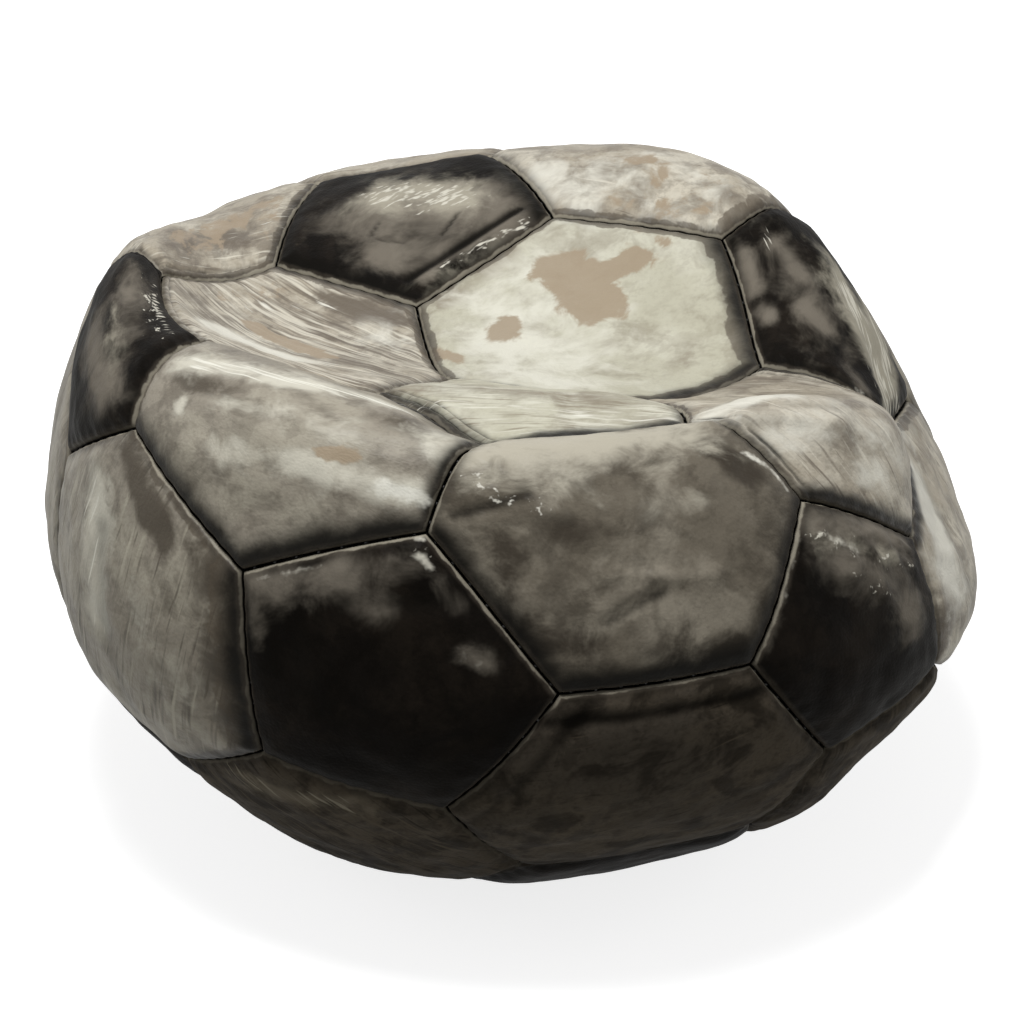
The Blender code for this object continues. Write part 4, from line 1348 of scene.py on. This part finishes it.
class FOOTBALL_OT_valve(bpy.types.Operator):
    """Set the rubber valve into its panel"""

    bl_idname = "football.valve"
    bl_label = "Valve"

    def execute(self, context):
        colours = context.scene.football_colours
        ball = Ball(context.scene.football_sizes)
        mesh = valve_mesh(ball.sizes)
        mesh.materials.append(dusty_rubber("moulded_rubber", colours.valve_rubber, colours,
                                           roughness=0.5, grit=0.8))
        valve = add_object("valve_rubber", mesh)
        direction = ball.panel_direction(VALVE_PANEL)[None, :]
        valve.location = ball.over_skin(direction, np.zeros(1))[0]
        outwards = Vector(deflated_normals(direction)[0])
        valve.rotation_euler = outwards.to_track_quat("Z", "Y").to_euler()
        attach(valve, "root")
        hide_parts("valve")
        return {"FINISHED"}


class FOOTBALL_OT_bladder(bpy.types.Operator):
    """Give the bladder its finish"""

    bl_idname = "football.bladder"
    bl_label = "Bladder"

    def execute(self, context):
        colours = context.scene.football_colours
        latex = dusty_rubber("dipped_latex", colours.bladder_rubber, colours,
                             roughness=0.45, grit=1.5)
        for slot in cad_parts["bladder"].material_slots:
            slot.material = latex
        return {"FINISHED"}


LOOKED_AT = (0.0, 0.0, 0.068)
SENSOR_WIDTH = 36.0             # millimetres
FLOOR_HALF_WIDTH = 6.0
FLOOR_SEEN = (0.6, 0.6, 0.6, 1.0)       # paint and own light of the floor, as the camera sees it
FLOOR_GLOW = (0.9, 0.9, 0.9, 1.0)
FLOOR_WHITE = 0.9               # how much of the floor's white does not depend on the lamps ...
MIRRORED_WHITE = 0.5            # ... and the same in a reflection, where more of it is in shadow
# Softboxes: place, width and depth in metres.
SOFTBOXES = {
    "overhead": ((-0.1, -0.30, 1.20), 0.35, 0.35),
    "left": ((-1.1, 0.1, 0.55), 0.5, 0.7),
    "right": ((1.1, 0.1, 0.55), 0.5, 0.7),
}


class FOOTBALL_OT_studio(bpy.types.Operator):
    """Set up the floor, the lamps and the camera"""

    bl_idname = "football.studio"
    bl_label = "Studio"

    def execute(self, context):
        studio = context.scene.football_studio
        add_floor(studio)
        add_room_light(context.scene, studio.room)
        for name, (location, width, depth) in SOFTBOXES.items():
            lamp = bpy.data.lights.new(name + "_softbox", "AREA")
            lamp.shape = "RECTANGLE"
            lamp.size, lamp.size_y = width, depth
            lamp.energy = getattr(studio, name)
            aim(add_object(name + "_softbox", lamp), location)
        camera = bpy.data.cameras.new("camera")
        camera.lens = studio.lens
        camera.sensor_width = SENSOR_WIDTH
        camera.dof.use_dof = False
        back = Vector((0.0, -math.cos(studio.elevation), math.sin(studio.elevation)))
        context.scene.camera = add_object("camera", camera)
        aim(context.scene.camera, Vector(LOOKED_AT) + back * studio.distance)
        context.scene.view_settings.view_transform = "Standard"
        return {"FINISHED"}


def aim(made, location):
    """Put a lamp or camera at a place, and point it at the ball."""
    made.location = location
    towards_ball = Vector(LOOKED_AT) - Vector(location)
    made.rotation_euler = towards_ball.to_track_quat("-Z", "Y").to_euler()


def seen_and_mirrored(tree):
    """1 for rays from the camera, and 1 for those that a glossy or clear surface sends on."""
    rays = add_node(tree, "ShaderNodeLightPath").outputs
    mirrored = add_node(tree, "ShaderNodeMath", {
        0: rays["Is Glossy Ray"], 1: rays["Is Transmission Ray"]}, operation="MAXIMUM")
    return rays["Is Camera Ray"], mirrored.outputs["Value"]


def add_floor(studio):
    """A wide floor of matt painted board: near white, and a little darker in the ball's shadow."""
    mesh = bpy.data.meshes.new("studio_floor")
    reach = FLOOR_HALF_WIDTH
    corners = [(x, y, CAD_LOW.z) for x, y in
               ((-reach, -reach), (reach, -reach), (reach, reach), (-reach, reach))]
    mesh.from_pydata(corners, [], [(0, 1, 2, 3)])
    material, tree, shader = new_material("matt_painted_board")
    seen, mirrored = seen_and_mirrored(tree)
    paint = add_node(tree, "ShaderNodeMix", {
        MIX_FACTOR: seen, MIX_A: (*studio.floor, 1.0), MIX_B: FLOOR_SEEN},
        data_type="RGBA")
    tree.links.new(paint.outputs[MIX_RESULT], shader.inputs["Base Color"])
    in_mirror = add_node(tree, "ShaderNodeMath", {0: mirrored, 1: MIRRORED_WHITE},
                         operation="MULTIPLY")
    own_white = add_node(tree, "ShaderNodeMath", {
        0: seen, 1: FLOOR_WHITE, 2: in_mirror.outputs["Value"]}, operation="MULTIPLY_ADD")
    tree.links.new(own_white.outputs["Value"], shader.inputs["Emission Strength"])
    shader.inputs["Emission Color"].default_value = FLOOR_GLOW
    shader.inputs["Roughness"].default_value = 0.9
    shader.inputs["Specular IOR Level"].default_value = 0.0
    mesh.materials.append(material)
    return add_object("studio_floor", mesh)


def add_room_light(scene, strength):
    """Even light from all round, white where it is seen."""
    world = bpy.data.worlds.new("room_light")
    world.use_nodes = True
    tree = world.node_tree
    tree.nodes.clear()
    seen, mirrored = seen_and_mirrored(tree)
    shown = add_node(tree, "ShaderNodeMath", {0: seen, 1: mirrored}, operation="MAXIMUM")
    level = add_node(tree, "ShaderNodeMapRange", {
        "Value": shown.outputs["Value"], "To Min": strength})
    light = add_node(tree, "ShaderNodeBackground", {
        "Color": (1.0, 1.0, 1.0, 1.0), "Strength": level.outputs["Result"]})
    add_node(tree, "ShaderNodeOutputWorld", {"Surface": light.outputs["Background"]})
    scene.world = world


# ---------------------------------------------------------------- add-on
class VIEW3D_PT_football(bpy.types.Panel):
    """Sizes, colours and steps of the deflated football"""

    bl_label = "Deflated football"
    bl_space_type = "VIEW_3D"
    bl_region_type = "UI"
    bl_category = "Football"

    def draw(self, context):
        for group in SETTINGS:
            column = self.layout.column(heading=group)
            settings = getattr(context.scene, group)
            for name in settings.__annotations__:
                column.prop(settings, name)
        for step in STEPS:
            self.layout.operator(step.bl_idname)


SETTINGS = {
    "football_sizes": FootballSizes,
    "football_colours": FootballColours,
    "football_studio": FootballStudio,
}
STEPS = (
    FOOTBALL_OT_leather_panels,
    FOOTBALL_OT_seam_thread,
    FOOTBALL_OT_valve,
    FOOTBALL_OT_bladder,
    FOOTBALL_OT_studio,
)


def register():
    """Register the classes, and the settings on the scene."""
    for made in (*SETTINGS.values(), *STEPS, VIEW3D_PT_football):
        bpy.utils.register_class(made)
    for name, group in SETTINGS.items():
        setattr(bpy.types.Scene, name, PointerProperty(type=group))


def unregister():
    """Undo register."""
    for name in SETTINGS:
        delattr(bpy.types.Scene, name)
    for made in reversed((*SETTINGS.values(), *STEPS, VIEW3D_PT_football)):
        bpy.utils.unregister_class(made)


def main():
    """Make every piece and the studio."""
    register()
    bpy.ops.football.leather_panels()
    bpy.ops.football.seam_thread()
    bpy.ops.football.valve()
    bpy.ops.football.bladder()
    bpy.ops.football.studio()


if __name__ == "__main__":
    main()
